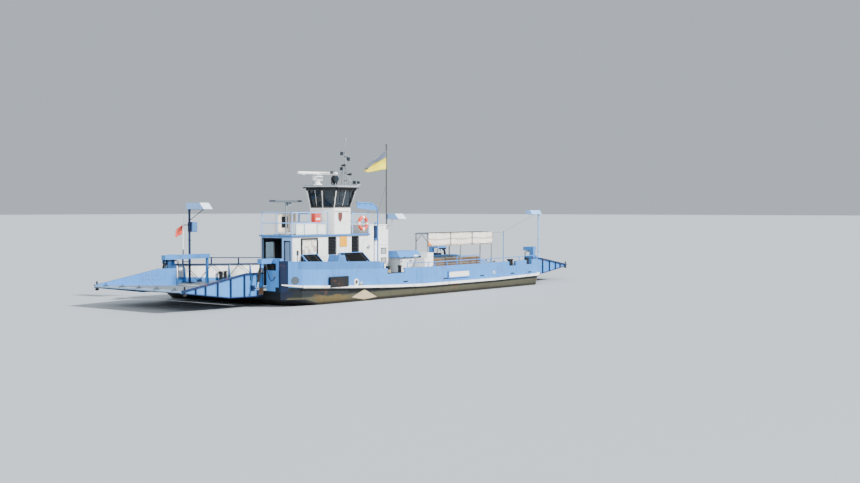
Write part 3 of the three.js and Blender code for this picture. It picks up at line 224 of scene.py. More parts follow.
def coat(name, colour, grime, rust, zones=(), rough=0.38, streaks=0.35, dents=0.25, fine=180.0):
    """Ship's paint on steel: faded patches, zones of other colours, dirt runs, rust at chips, orange peel."""
    f = Finish(name)
    paint = f.mix(f.spread(f.noise(0.55), 0.35, 0.65), (hue(colour), 0.93), (hue(colour), 1.05))
    for where, other in zones:
        if isinstance(where, str):
            share = f.within(where)
        else:
            share = where(f) if callable(where) else f.within(*where)
        paint = f.mix(share, paint, other)
    runs = f.spread(f.noise(5.5, 4, (1, 1, 0.07)), 0.52, 0.75, 0, streaks)
    paint = f.mix(runs, paint, f.mix(0.5, paint, "silt", "MULTIPLY"))
    cloud = f.noise(2.2, 6, rough=0.65)
    paint = f.mix(f.spread(cloud, 0.5, 0.8, 0, grime), paint, f.mix(0.8, paint, ("silt", 0.9), "MULTIPLY"))
    chips = f.times(f.noise(9.0, 8, rough=0.7), f.noise(1.3, 2))
    chipped = f.spread(chips, 0.33, 0.37, 0, rust)
    paint = f.mix(chipped, paint, f.mix(f.noise(60), "rust", ("rust", 0.45)))
    dull = f.spread(f.plus(cloud, f.times(chipped, 0.8)), 0.3, 1.3, rough, min(0.95, rough + 0.4))
    f.set(Base_Color=paint, Roughness=dull, Specular_IOR_Level=0.25)
    f.bump(f.noise(fine, 2), 0.05, 0.002)
    f.bump(f.noise(0.9, 2), dents, 0.03)
    return f


def painted_highlight_facet(f):
    """Painted highlight: the facet over the thruster that catches the light, painted bright, in the shape
    that the knuckle lines give it.
    """
    away = f.calc("ABSOLUTE", f.plus(f.axis("x"), 4.95))
    upper = f.spread(f.plus(f.axis("s"), f.times(away, 0.42)), 0.37, 0.39, 1, 0)
    lower = f.spread(f.calc("SUBTRACT", f.axis("s"), f.times(away, 0.13)), -0.08, -0.06)
    return f.times(f.times(upper, lower), f.within("y<-2"))


def silt_patch(f):
    """River silt near the left end, its upper edge uneven."""
    edge = f.plus(f.axis("z"), f.spread(f.noise(1.4, 4), 0.35, 0.65, -0.06, 0.08))
    return f.times(f.spread(edge, 0.38, 0.44, 1, 0), f.within("x>-8 x<-6", 0.3))


def shaded_corner(f):
    """Painted shade: the dark triangle under the left corner pillar."""
    edge = f.calc("SUBTRACT", f.axis("z"), f.times(f.axis("x"), 0.94))
    return f.times(f.spread(edge, 9.17, 9.20), f.within("x<-8.8 s<0.56 ny<-0.6"))


SHEER_SHARE = 0.65


def over_cap(f, height):
    """One above a line that runs along the bulwark's top."""
    line = f.plus(f.times(f.axis("z"), 1 - SHEER_SHARE), f.times(f.axis("s"), SHEER_SHARE))
    return f.spread(line, height - 0.006, height + 0.006)


def raised_band(f):
    return f.times(over_cap(f, 1.345), f.within("x>-9 x<-3.88"))


def far_cap(f):
    return over_cap(f, 1.275)


# Zones of a coat: limits, limits with a softness or a function, and the colour there.
HULL_ZONES = (
    # Near black right under the rub rail: dark paint with the rail's painted shadow on it.
    ("s<0.45", "050607"),
    # Painted shade: near black under the rail at the left end.
    (("x<-6 s<0.42", 0.03), "1A1F21"),
    # A dark band under the rail: dark paint, deepened by painted shadow.
    (("z<0.43", 0.03), "1D2222"),
    (("z<0.37", 0.03), "464434"),
    (silt_patch, "574B2C"),
    # Painted shade under the left corner pillar.
    (shaded_corner, "10192A"),
    # Painted shade: the hull's end faces near black, in the shade under the ramps.
    ("x<-8 nx<-0.6 z<0.63", "101214"),
    ("x>8 nx>0.6 z<0.63", "101214"),
    # Painted shade: near black on the faces that look down.
    ("nz<-0.5 z<0.63", "17171A"),
    (("z<0.12", 0.04), "221D12"),
    ("z<-0.02", "4A2A22"),
    # Painted highlight on the facet over the thruster.
    (painted_highlight_facet, "B5A483"),
    ("z>0.6 nz>0.6", "deck"),
    # Painted shade: the deck inside the house, dark.
    ("z>0.6 nz>0.6 x>-7.93 x<-2.93 y>-2.65 y<-0.75", "2B2F35"),
)
NEAR_ZONES = (
    ("ny>0.5 s>0.6 s<1.9", "white"),
    # Painted shade: navy on the end faces of the corner pillars, as the left end is in shade; the right end
    # has the same.
    ("x<-9.62 nx<-0.9 y<-3.615", "navy"),
    ("x>9.62 nx>0.9 y<-3.615", "navy"),
    # Painted shade: near black low on the near bulwark, below the rub rail.
    ("s<0.44 y<-3.4", "11171A"),
    (raised_band, ("light_blue", 0.72)),
    # Painted shade: the left corner pillar very dark navy.
    ("x<-9.36 y<-3.6 z<1.96", "101D38"),
)
FAR_ZONES = (
    ("ny<-0.5 s>0.6 s<1.9", "white"),
    # Painted shade: navy end faces, as on the near side.
    ("x<-9.62 nx<-0.9 y>3.615", "navy"),
    ("x>9.62 nx>0.9 y>3.615", "navy"),
    (far_cap, "navy"),
)
# A black fender on the near side; the rail's lower edge, below s 0.45, is painted shadow, near black.
RUB_RAIL_ZONES = (("x>-7.25 x<-6.09 z>0.71 z<1.17 y<-4.1", "17181A"), ("s<0.45", "17191B"))
# White outside; the faces that look into the house are painted shade, dark grey.
HOUSE_ZONES = (("ny>0.5 y<-2.55", "30343A"), ("ny<-0.5 y>-0.85", "30343A"), ("nx>0.5 x<-7.85", "30343A"))
RAMP_SIDE_ZONES = (("y<-2.784", "navy"), ("y>2.784", "navy"))
# Light blue edges; the underside, the house's ceiling, is painted shade.
UPPER_DECK_ZONES = (("z<2.925", "light_blue"), ("nz<-0.5", "30343A"))
LOCKER_ZONES = (("z<1.765 x<0.26 y>-3.16", "A9AFB2"), ("y<-3.16 z<2 x>-0.3 x<0.6", "white"))


def ramp_deck():
    """Deck plate with raised lozenges, its paint dirty and chipped."""
    # The ramp's undersides are painted shade, a darker navy.
    f = coat("ramp_deck_paint", "8FA9C4", 0.5, 0.6, [("nz<-0.5", ("navy", 0.8))], rough=0.55)
    f.bump(f.spread(f.cells(16.0, (1, 1.6, 0.2)), 0.18, 0.3, 1, 0), 0.5, 0.004)
    return f


def glass(name, colour, rough=0.04, through=0.85):
    f = Finish(name)
    smear = f.spread(f.noise(1.8, 4, (1, 1, 0.4)), 0.4, 0.75)
    f.set(
        Base_Color=f.mix(smear, colour, (colour, 1.35)),
        Roughness=f.spread(f.noise(6.0), 0.4, 0.8, rough, rough + 0.12),
        Transmission_Weight=through,
        IOR=1.45,
    )
    return f


def rubber():
    f = Finish("rubber")
    dust = f.noise(5.0, 5)
    f.set(
        Base_Color=f.mix(f.spread(dust, 0.45, 0.8), "1B1C1E", "57534C"),
        Roughness=f.spread(dust, 0.3, 0.8, 0.6, 0.95),
    )
    f.bump(f.noise(40.0, 4), 0.2, 0.003)
    return f


def bare_metal(name, colour, rough=0.35, brushed=(1, 1, 0.05), dirt=0.4):
    f = Finish(name, metal=0.9)
    scratches, dull = f.noise(90.0, 4, brushed), f.noise(3.0, 5)
    f.set(
        Base_Color=f.mix(f.spread(dull, 0.45, 0.75, 0, dirt), colour, (colour, 0.35)),
        Roughness=f.spread(f.plus(dull, scratches), 0.7, 1.4, rough, min(1.0, rough + 0.35)),
    )
    f.bump(scratches, 0.08, 0.002)
    return f


def moulded(name, colour):
    """Plastic or gel coat that the sun has chalked a little."""
    f = Finish(name)
    chalk = f.noise(3.5, 5)
    f.set(
        Base_Color=f.mix(f.spread(chalk, 0.4, 0.8, 0, 0.24), colour, f.mix(0.5, colour, (0.8, 0.78, 0.74))),
        Roughness=f.spread(chalk, 0.3, 0.8, 0.4, 0.65),
    )
    f.bump(f.noise(120.0, 2), 0.06, 0.002)
    return f


def down_the_map(f, name):
    return f.node("SeparateXYZ", {0: f.coords.outputs["UV"]}, name)


def woven(name, colour, thread, other=None, split=0.0):
    """Cloth: two crossing sets of threads, sheen and dust; another colour past a height on its own map."""
    f = Finish(name, 0.85)
    base = hue(colour)
    if other:
        base = f.mix(f.spread(down_the_map(f, "Y"), split - 0.004, split + 0.004), colour, other)
    dust = f.spread(f.noise(2.5, 5), 0.42, 0.8, 0, 0.45)
    f.set(
        Base_Color=f.mix(dust, base, f.mix(0.6, base, "silt", "MULTIPLY")),
        Sheen_Weight=0.3,
        Sheen_Roughness=0.5,
    )
    threads = [f.waves(thread / 12, axis, place=f.coords.outputs["UV"]) for axis in "XY"]
    f.bump(f.times(*threads), 0.25, 0.001)
    return f


def corner_canvas():
    """Canvas with one corner coloured orange."""
    f = woven("tarpaulin_canvas_corner", "canvas", 700.0)
    slope = f.plus(down_the_map(f, "X"), f.times(down_the_map(f, "Y"), 1.25))
    before = f.shader.inputs["Base Color"].links[0].from_socket
    f.set(Base_Color=f.mix(f.spread(slope, 0.36, 0.375, 1, 0), before, "EE9650"))
    return f


def patterned(name, rough, pattern, low, high, strength, depth):
    """Two colours laid out by a pattern, which also gives the relief."""
    f = Finish(name, rough)
    kind, *given = pattern
    height = getattr(f, kind)(*given)
    f.set(Base_Color=f.mix(height, low, high))
    f.bump(height, strength, depth)
    return f


def paper():
    """Sheets of different pale colours pinned to a board, with nothing written on them."""
    f = Finish("notice_sheets", 0.8)
    inputs = {"Vector": f.stretched((4.2, 1, 3.1)), "Scale": 1.3, "Randomness": 0.7}
    sheets = f.node("TexVoronoi", inputs, "Color", distance="CHEBYCHEV")
    edge = f.spread(sheets.node.outputs["Distance"], 0.36, 0.44)
    f.set(Base_Color=f.mix(f.times(edge, 0.55), f.mix(0.82, sheets, "EFE9DC"), "6E6A60"))
    f.bump(f.noise(30.0), 0.1, 0.003)
    return f


def wood():
    f = Finish("bench_wood", 0.6)
    grain = f.noise(7.0, 6, (0.15, 1.5, 1.5))
    f.set(Base_Color=f.mix(f.spread(grain, 0.35, 0.65), "4E3B28", "7A5C3E"))
    f.bump(grain, 0.3, 0.003)
    return f


# Painted shade: the near-black lining under an open lid, with a cell relief.
def foam():
    f = Finish("lid_shade_lining", 0.9)
    f.set(Base_Color=f.mix(f.noise(6.0, 4), "050506", "0F1012"), Specular_IOR_Level=0.1)
    f.bump(f.cells(28.0), 0.6, 0.01)
    return f


# The maker of every finish and what it's given; for a coat that is the material's name, its colour, grime,
# rust, zones, roughness, streaks, dents and the scale of the orange peel.
RECIPES = {
    "hull": (coat, "hull_paint", "light_blue", 0.55, 0.3, HULL_ZONES, 0.38, 0.5),
    "bulwark_near": (coat, "bulwark_near_paint", "light_blue", 0.25, 0.3, NEAR_ZONES),
    "bulwark_far": (coat, "bulwark_far_paint", "light_blue", 0.25, 0.3, FAR_ZONES),
    "rub_rail": (coat, "rub_rail_paint", "white", 0.45, 0.4, RUB_RAIL_ZONES, 0.38, 0.6),
    "ramp_side": (coat, "ramp_side_paint", "light_blue", 0.22, 0.4, RAMP_SIDE_ZONES),
    "ramp_deck": (ramp_deck,),
    "upper_deck": (coat, "upper_deck_paint", "deck", 0.4, 0.25, UPPER_DECK_ZONES, 0.6),
    "blue": (coat, "blue_paint", "light_blue", 0.22, 0.25),
    "house_white": (coat, "house_paint", "white", 0.16, 0.22, HOUSE_ZONES, 0.38, 0.28, 0.12),
    "white": (coat, "white_paint", "white", 0.16, 0.22, (), 0.38, 0.28, 0.12),
    "shade_white": (coat, "engine_room_paint", "D9DEDF", 0.25, 0.2),
    "navy": (coat, "navy_paint", "navy", 0.25, 0.3),
    "black": (coat, "black_paint", "1D1F23", 0.35, 0.35, (), 0.45),
    # Painted shadow: the frame's band under the roof, near black.
    "window_frame": (coat, "window_frame_paint", "white", 0.15, 0.2, [("z>4.87", "0C0D0F")]),
    # Painted shadow: the roof's edge near black below its middle.
    "roof": (coat, "roof_paint", "C2C9CC", 0.2, 0.15, [("z<5.04", "1A1C1F")]),
    "rail": (coat, "railing_paint", "8DB9EE", 0.15, 0.2),
    "dim": (coat, "dim_paint", "4E575E", 0.2, 0.2),
    "shield": (coat, "shield_plate", "6A4038", 0.2, 0.1, (), 0.38, 0.35, 0.25, 60.0),
    "grey": (coat, "mast_paint", "8E979E", 0.3, 0.35),
    "machine": (coat, "machine_paint", "5F7468", 0.6, 0.4),
    "yellow": (coat, "yellow_paint", "yellow", 0.25, 0.2),
    "lockers": (coat, "locker_paint", "light_blue", 0.2, 0.2, LOCKER_ZONES),
    # Painted highlight: the hoods' ends nearly white, as where the sun strikes them.
    "hood_end": (coat, "hood_end_paint", "DCE8F2", 0.15, 0.1),
    "box_blue": (coat, "box_paint", "4C7FB5", 0.25, 0.2),
    "lane": (coat, "lane_paint", "D9D8CE", 0.9, 0.6, (), 0.6),
    "rusty": (coat, "rusty_steel", "6E5644", 0.6, 1.0, (), 0.6, 0.35, 0.25, 60.0),
    "orange": (moulded, "orange_plastic", "orange"),
    "white_plastic": (moulded, "white_plastic", "EDEBE6"),
    "mint": (moulded, "mint_panel", "CFE6DC"),
    "beige": (moulded, "beige_panel", "F0DFCC"),
    "rod": (bare_metal, "rod_chrome", "C9CDD2", 0.14, (1, 1, 1), 0.15),
    "steel": (bare_metal, "galvanised_steel", "9FA6AB", 0.42),
    "bronze": (bare_metal, "bronze", "9A7B3C", 0.35, (1, 1, 1)),
    "window": (glass, "window_glass", "8FA6B5"),
    # Painted reflection: pale, mostly opaque glass for the bright end window.
    "pale_glass": (glass, "pale_glass", "6F8CB0", 0.1, 0.2),
    "dark_glass": (glass, "dark_glass", "3C4A55", 0.03, 0.7),
    "lens": (glass, "lamp_lens", "E6ECEE", 0.15, 0.5),
    "canvas": (woven, "tarpaulin_canvas", "canvas", 700.0),
    "canvas_corner": (corner_canvas,),
    "flag": (woven, "flag_cloth", "E4D400", 900.0, "4A5568", 0.56),
    "red_cloth": (woven, "red_flag_cloth", "C8402B", 900.0),
    "rope": (
        *(patterned, "mooring_rope", 0.9, ("waves", 22.0, "DIAGONAL", 1.5)),
        *("8C7A55", "C6B68C", 0.5, 0.006),
    ),
    "dark_line": (patterned, "dark_rope", 0.9, ("noise", 70.0), "1C1A18", "4A4238", 0.4, 0.003),
    "blind": (patterned, "blind_cloth", 0.8, ("waves", 9.0, "Z"), ("navy", 0.75), ("navy", 1.35), 0.4, 0.01),
    "rubber": (rubber,),
    "paper": (paper,),
    "wood": (wood,),
    "foam": (foam,),
}
# The part's own material slots, with the finishes that stand for each.
PAINTED = {
    "hull": "hull",
    "bulwark_near": "bulwark_near",
    "bulwark_far": "bulwark_far",
    "rub_rail": "rub_rail_{side}",
    "ramp_side": "ramp_{end}_side_{side}",
    "ramp_deck": "ramp_{end}_deck",
    "upper_deck": "upper_deck",
    "blue": "hatch_trunk hatch_lid_1 hatch_lid_2 lamp_post_casing gallows_{end}_{side}",
    "house_white": "house_near_wall house_inner_wall",
    "white": "house_side_door exhaust_casing wheelhouse_base wheelhouse_door radar_pedestal radar_scanner",
    "rail": "upper_railing_{end} lamp_post_near_right house_end_wall",
    "machine": "engine",
    "black": "searchlight cylinder_barrel_{end}_{side}",
    "rod": "cylinder_rod_{end}_{side}",
    "grey": "mast lamp_post_upper shelter_frame",
    "roof": "wheelhouse_roof",
    "window_frame": "wheelhouse_window_frame",
    "navy": "flagstaff lamp_post_far_left thruster_leg_{end}",
    "bronze": "thruster_screw_{end}",
    "yellow": "gas_canister",
    "lockers": "lockers",
}


@cache
def finish(name):
    """The finish of that name, made when it's first asked for."""
    maker, *given = RECIPES[name]
    return maker(*given)


# Where the camera stands and looks, and where the sun is.
SUN_TO = (0.38, -0.72, 0.62)
CAMERA_AT = (-43.57, -38.43)
CAMERA_LOOKS = (0.784, 0.621)
HORIZON_DROP = 1.64
LENS = 48.98
# Name, direction, strength and width in degrees.
SUNS = (("key", SUN_TO, 9.0, 5.0), ("fill", (-0.8, -0.3, 0.5), 2.6, 60.0))
ACROSS, UP, NEARWARD = (0, 1, 0), (0, 0, 1), (0, -1, 0)


def added(name, data):
    """A new object in the scene."""
    o = bpy.data.objects.new(name, data)
    bpy.context.scene.collection.objects.link(o)
    return o


def mesh_object(name, bm, *finishes):
    mesh = bpy.data.meshes.new(name)
    bm.to_mesh(mesh)
    bm.free()
    for f in finishes:
        mesh.materials.append(f.material)
    return added(name, mesh)


def about(middle, half):
    """Limits at the same distance on either side."""
    return (middle - half, middle + half)


def stepped(start, end, step):
    """Places from start to end, a step apart."""
    return [start + i * step for i in range(int((end - start) / step + 1e-6) + 1)]


def on_circle(centre, radius, angle, upright=False):
    """A point of a circle that lies flat or stands along the ship."""
    x, y, z = centre
    u, v = radius * math.cos(angle), radius * math.sin(angle)
    return Vector((x + u, y, z + v) if upright else (x + u, y + v, z))


def facing(point, direction):
    """The matrix that puts a shape at a point, its z axis along a direction."""
    return Matrix.Translation(point) @ direction.to_track_quat("Z", "Y").to_matrix().to_4x4()


def turn_by(degrees, axis, size=3):
    return Matrix.Rotation(math.radians(degrees), size, axis)


class Shape:
    """A mesh in the making and the solids that the ferry's pieces are built from."""

    def __init__(self):
        self.bm = bmesh.new()

    def slab(self, x, y, z, soft=0.0, mat=0, turn=None):
        """A block between limits in metres, its edges eased, turned about its middle."""
        verts = bmesh.ops.create_cube(self.bm, size=1.0)["verts"]
        bmesh.ops.scale(self.bm, vec=Vector([v[1] - v[0] for v in (x, y, z)]), verts=verts)
        if turn is not None:
            bmesh.ops.rotate(self.bm, verts=verts, cent=(0, 0, 0), matrix=turn)
        bmesh.ops.translate(self.bm, vec=Vector([sum(v) / 2 for v in (x, y, z)]), verts=verts)
        self.ease(verts, soft, mat)

    def slabs(self, *rows):
        """Blocks from their six limits, each with its easing and material where it has them."""
        for x0, x1, y0, y1, z0, z1, *rest in rows:
            self.slab((x0, x1), (y0, y1), (z0, z1), *rest)

    def row(self, xs, half, *rest, **more):
        """The same block at several places along the ship."""
        for x in xs:
            self.slab(about(x, half), *rest, **more)

    def ease(self, verts, soft, mat, caps_only=False):
        """Gives the faces on those vertices their material, then eases their edges."""
        for face in {face for v in verts for face in v.link_faces}:
            face.material_index = mat
        if not soft:
            return
        edges = {edge for v in verts for edge in v.link_edges}
        if caps_only:
            edges = {edge for edge in edges if any(len(face.verts) > 4 for face in edge.link_faces)}
        bmesh.ops.bevel(
            self.bm,
            geom=list(edges),
            offset=soft,
            segments=2,
            profile=0.5,
            affect="EDGES",
            material=-1,
            clamp_overlap=True,
        )

    def rod(self, p, q, radius, sides=12, tip=None, mat=0, soft=0.0):
        """A round bar between two points, or a cone where its tip has another radius."""
        p, q = Vector(p), Vector(q)
        made = bmesh.ops.create_cone(
            self.bm,
            cap_ends=True,
            segments=sides,
            radius1=radius,
            radius2=radius if tip is None else tip,
            depth=(q - p).length,
            matrix=facing((p + q) / 2, q - p),
        )
        self.ease(made["verts"], soft, mat, caps_only=True)

    def rods(self, radius, sides, *pairs):
        for p, q in pairs:
            self.rod(p, q, radius, sides)

    def post(self, x, y, z0, z1, *rest, **more):
        """An upright round bar."""
        self.rod((x, y, z0), (x, y, z1), *rest, **more)

    def ball(self, centre, radius, across=16, down=10, squash=(1, 1, 1)):
        verts = bmesh.ops.create_uvsphere(self.bm, u_segments=across, v_segments=down, radius=radius)["verts"]
        bmesh.ops.scale(self.bm, vec=squash, verts=verts)
        bmesh.ops.translate(self.bm, vec=centre, verts=verts)

    def circle(self, sides, radius, matrix):
        verts = bmesh.ops.create_circle(self.bm, segments=sides, radius=radius, matrix=matrix)["verts"]
        return verts, list({edge for v in verts for edge in v.link_edges})

    def ring(self, centre, axis, radius, thick, steps, sides, mat=0):
        """A closed round tube, spun about an axis through its centre."""
        axis = Vector(axis).normalized()
        side = axis.orthogonal().normalized()
        verts, edges = self.circle(sides, thick, facing(Vector(centre) + side * radius, axis.cross(side)))
        before = set(self.bm.faces)
        bmesh.ops.spin(
            self.bm,
            geom=verts + edges,
            cent=centre,
            axis=axis,
            angle=math.tau,
            steps=steps,
            use_merge=True,
        )
        for face in set(self.bm.faces) - before:
            face.material_index = mat

    def tube(self, points, radius, sides=8, mat=0):
        """A round tube through points, its rings bridged in turn and its ends closed."""
        points = [Vector(p) for p in points]
        rings = []
        for before, p, after in zip([points[0], *points], points, [*points[1:], points[-1]]):
            rings.append(self.circle(sides, radius, facing(p, after - before))[1])
        faces = []
        for a, b in zip(rings, rings[1:]):
            faces += bmesh.ops.bridge_loops(self.bm, edges=a + b)["faces"]
        for end in (rings[0], rings[-1]):
            faces += bmesh.ops.contextual_create(self.bm, geom=end)["faces"]
        for face in faces:
            face.material_index = mat

    def lifted(self, corners, away):
        """A flat face on its corners and the vertices of its copy, moved by what away makes of the face."""
        corners = [self.bm.verts.new(c) for c in corners]
        face = bmesh.ops.contextual_create(self.bm, geom=corners)["faces"][0]
        face.normal_update()
        grown = bmesh.ops.extrude_face_region(self.bm, geom=[face], use_keep_orig=True)["geom"]
        tops = [v for v in grown if isinstance(v, bmesh.types.BMVert)]
        bmesh.ops.translate(self.bm, vec=away(face), verts=tops)
        return face, tops

    def panel(self, corners, thick, mat=0, soft=0.0):
        """A flat plate on its corners, thick to the side that they turn towards."""
        face, tops = self.lifted(corners, lambda flat: flat.normal * thick)
        self.ease({*tops, *face.verts}, soft, mat)

    def border(self, x, z, y, proud, width, mat=0):
        """Four bars round a board on a wall that faces the near side."""
        (x0, x1), (z0, z1) = x, z
        for bar in ((z0, z0 + width), (z1 - width, z1)):
            self.slab(x, (y - proud, y), bar, 0.004, mat)
        for bar in ((x0, x0 + width), (x1 - width, x1)):
            self.slab(bar, (y - proud, y), (z0 + width, z1 - width), 0.004, mat)

    def bolts(self, points, axis, radius=0.012, proud=0.012, mat=0):
        """Hexagon heads on a surface, standing out along an axis."""
        out = Vector(axis) * proud
        for p in points:
            self.rod(Vector(p) - out * 0.3, Vector(p) + out, radius, 6, mat=mat)

    def move(self, matrix):
        bmesh.ops.transform(self.bm, matrix=matrix, verts=list(self.bm.verts))

    def smooth_by_angle(self, degrees):
        """Smooth faces, with the edges sharper than an angle kept hard."""
        self.bm.normal_update()
        for face in self.bm.faces:
            face.smooth = True
        for edge in self.bm.edges:
            edge.smooth = not edge.is_manifold or edge.calc_face_angle(0) < math.radians(degrees)

    def make(self, name, finishes, body="hull", slot=None, smooth=None, replaces=()):
        """Makes the shape one of the ferry's pieces, riding on a body."""
        finishes = finishes.split()
        bmesh.ops.recalc_face_normals(self.bm, faces=self.bm.faces)
        if smooth is not None:
            self.smooth_by_angle(smooth)
        o = mesh_object(name, self.bm, *map(finish, finishes))
        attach(o, body)
        if replaces:
            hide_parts(*replaces)
        return o


class FERRY_OT_stage(bpy.types.Operator):
    """Sets the camera on the bank, the pale floor at the waterline and soft light from the right"""

    bl_idname = "ferry.stage"
    bl_label = "Stage"

    def execute(self, context):
        camera = added("camera", bpy.data.cameras.new("camera"))
        context.scene.camera = camera
        camera.data.sensor_fit = "HORIZONTAL"
        camera.data.sensor_width = 36.0
        camera.data.lens = LENS
        camera.data.clip_end = 2000
        camera.location = (*CAMERA_AT, sizes().eye_height)
        drop = math.radians(HORIZON_DROP)
        looks = Vector((*(c * math.cos(drop) for c in CAMERA_LOOKS), -math.sin(drop)))
        camera.rotation_euler = looks.to_track_quat("-Z", "Y").to_euler()
        f = Finish("studio_floor", 0.55)
        f.set(Base_Color=f.mix(f.noise(0.05, 2), ("floor", 0.97), ("floor", 1.03)))
        bm = bmesh.new()
        bmesh.ops.create_grid(bm, x_segments=2, y_segments=2, size=600.0)
        mesh_object("floor", bm, f)
        for name, towards, energy, angle in SUNS:
            lamp = bpy.data.lights.new(name, "SUN")
            lamp.energy = energy
            lamp.angle = math.radians(angle)
            added(name, lamp).rotation_euler = Vector(towards).to_track_quat("Z", "Y").to_euler()
        world = bpy.data.worlds.new("studio")
        world.use_nodes = True
        sky = world.node_tree.nodes["Background"]
        sky.inputs["Color"].default_value = (0.72, 0.80, 0.88, 1)
        sky.inputs["Strength"].default_value = 0.7
        context.scene.world = world
        return {"FINISHED"}


def spelled(names):
    """The names in a text, each that has an end or a side in it once for every end or side."""
    found = [n.format(end=end, side=side) for n in names.split() for _, end in ENDS for _, side in SIDES]
    return dict.fromkeys(found)


class FERRY_OT_frame_paint(bpy.types.Operator):
    """Paints the frame's own parts"""

    bl_idname = "ferry.frame_paint"
    bl_label = "Frame paint"

    def execute(self, context):
        for name, nodes in PAINTED.items():
            for node in spelled(nodes):
                materials = NODES[node].data.materials
                while len(materials) > 1:
                    materials.pop()
                materials[0] = finish(name).material
        return {"FINISHED"}


BULWARK_TOP = 1.33
HIGH_END = -3.9
# The near bulwark's notches: their two ends and their depth.
NOTCHES = ((-3.38, -2.14, 0.25), (6.3, 6.9, 0.23), (7.9, 8.4, 0.23))


def bulwark_top(x):
    return BULWARK_TOP + SHEER_SHARE * sheer(x)


def side_welds(side, name):
    y = side * PLATING
    s = Shape()
    if side < 0:
        along = [-8.7 + (HIGH_END + 8.7) * i / 16 for i in range(17)]
        s.tube([(x, y, bulwark_top(x)) for x in along], 0.009, 6)
        s.post(HIGH_END + 0.004, y, bulwark_top(HIGH_END), bulwark_top(HIGH_END) + 0.33, 0.008, 6)
    for x in stepped(-8.2, 8.7, sizes().plate_step):
        s.post(x, y, 0.72, bulwark_top(x) - 0.06, 0.005, 6)
    s.make(f"plate_welds_{name}", "blue")
    s = Shape()
    s.row((-8.1, -5.2, -2.1, 0.9, 3.9, 6.6, 8.2), 0.16, about(y, 0.012), (0.69, 0.75), 0.01)
    s.make(f"scuppers_{name}", "black")


def name_board():
    """A blank board with its border and brackets."""
    s = Shape()
    s.slab((1.13, 2.76), (-4.205, -4.165), (0.76, 1.03), 0.012)
    s.border((1.09, 2.80), (0.72, 1.07), -4.17, 0.045, 0.05, 1)
    s.bolts([(x, -4.205, z) for x in (1.2, 2.69) for z in (0.81, 0.98)], NEARWARD, mat=1)
    s.row((1.4, 1.95, 2.5), 0.03, (-4.17, -4.15), (0.74, 1.05), mat=1)
    s.make("name_board_near", "white_plastic blue")


def outlets():
    s = Shape()
    for x, z, radius in ((-5.5, 0.86, 0.12), (-5.18, 0.80, 0.05), (4.9, 0.84, 0.07)):
        s.ring((x, -4.165, z), ACROSS, radius, radius * 0.28, 24, 10)
        s.rod((x, -4.16, z), (x, -4.148, z), radius * 0.95, 20, mat=1)
        s.bolts([on_circle((x, -4.19, z), radius * 1.02, a, True) for a in (0.8, 2.3, 3.9, 5.5)], NEARWARD)
    s.make("hull_outlets", "white rubber")


def corner_fittings():
    """A bare round plate on the cut corner, the rub rail's thin end and a lamp on a short post."""
    s = Shape()
    corner = Vector((-9.1, -4.002, 1.09))
    out = Vector((-0.45, -0.82, 0)).normalized()
    s.rod(corner - out * 0.02, corner + out * 0.012, 0.17, 28, soft=0.004)
    s.make("corner_plate", "dim")
    s = Shape()
    s.rod((-9.62, -3.735, 0.92), (-8.86, -4.152, 0.83), 0.022, 10, tip=0.05)
    s.make("rub_rail_tail", "white")
    s = Shape()
    x, y = -8.9, -3.95
    s.post(x, y, 0.652, 2.14, 0.016, 10)
    s.post(x, y, 0.652, 0.67, 0.06, 16, soft=0.003)
    s.post(x, y, 2.13, 2.16, 0.055, 16)
    s.post(x, y, 2.16, 2.27, 0.048, 16, mat=1)
    s.post(x, y, 2.27, 2.34, 0.062, 16, tip=0.02)
    s.make("corner_lamp", "black dark_glass")


def near_bollards():
    """Twin posts on a base in each notch, with turns of rope round the first."""
    for i, (x0, x1, depth) in enumerate(NOTCHES):
        s = Shape()
        foot = bulwark_top(x0) - depth
        s.slab((x0 + 0.04, x1 - 0.04), (-4.13, -3.86), (foot - 0.03, foot + 0.025), 0.008)
        s.slab((x0 + 0.1, x1 - 0.1), (-4.05, -3.9), (0.655, foot - 0.02), 0.01)
        for x in (x0 + 0.2, x1 - 0.2):
            s.post(x, -4.0, foot, foot + 0.3, 0.085, 20)
            s.post(x, -4.0, foot + 0.29, foot + 0.34, 0.115, 20, soft=0.012)
        for k in range(3 if i == 0 else 0):
            s.ring((x0 + 0.2, -4.0, foot + 0.06 + 0.045 * k), UP, 0.108, 0.022, 24, 8, 1)
        s.make(f"bollard_{i + 1}", "black rope")


class FERRY_OT_side_fittings(bpy.types.Operator):
    """Welds, name board, outlets, scuppers and bollards of the hull's sides"""

    bl_idname = "ferry.side_fittings"
    bl_label = "Side fittings"

    def execute(self, context):
        for side, name in SIDES:
            side_welds(side, name)
        name_board()
        outlets()
        corner_fittings()
        near_bollards()
        return {"FINISHED"}


class FERRY_OT_far_side(bpy.types.Operator):
    """Braces on the far bulwark's inner face and the bollards behind it"""

    bl_idname = "ferry.far_side"
    bl_label = "Far side"

    def execute(self, context):
        s = Shape()
        for x in (-8.3, -6.58, -4.86, -3.14):
            for dx in (0.06, 1.66):
                top = bulwark_top(x if dx < 1 else x + dx) - 0.06
                s.rod((x + dx, 4.01, top), (x + 0.95, 4.02, 0.74), 0.014, 8)
            s.slab((x + 0.85, x + 1.05), (3.99, 4.04), (0.652, 0.76), 0.006)
        s.make("far_rail_braces", "navy")
        s = Shape()
        for x in (-6.0, -0.4, 5.4):
            s.slab(about(x, 0.28), (3.80, 4.07), (0.654, 0.70), 0.01)
            for dx in (-0.15, 0.15):
                s.post(x + dx, 3.93, 0.69, 1.05, 0.075, 18)
                s.post(x + dx, 3.93, 1.04, 1.09, 0.1, 18, soft=0.01)
        s.make("far_bollards", "black")
        return {"FINISHED"}


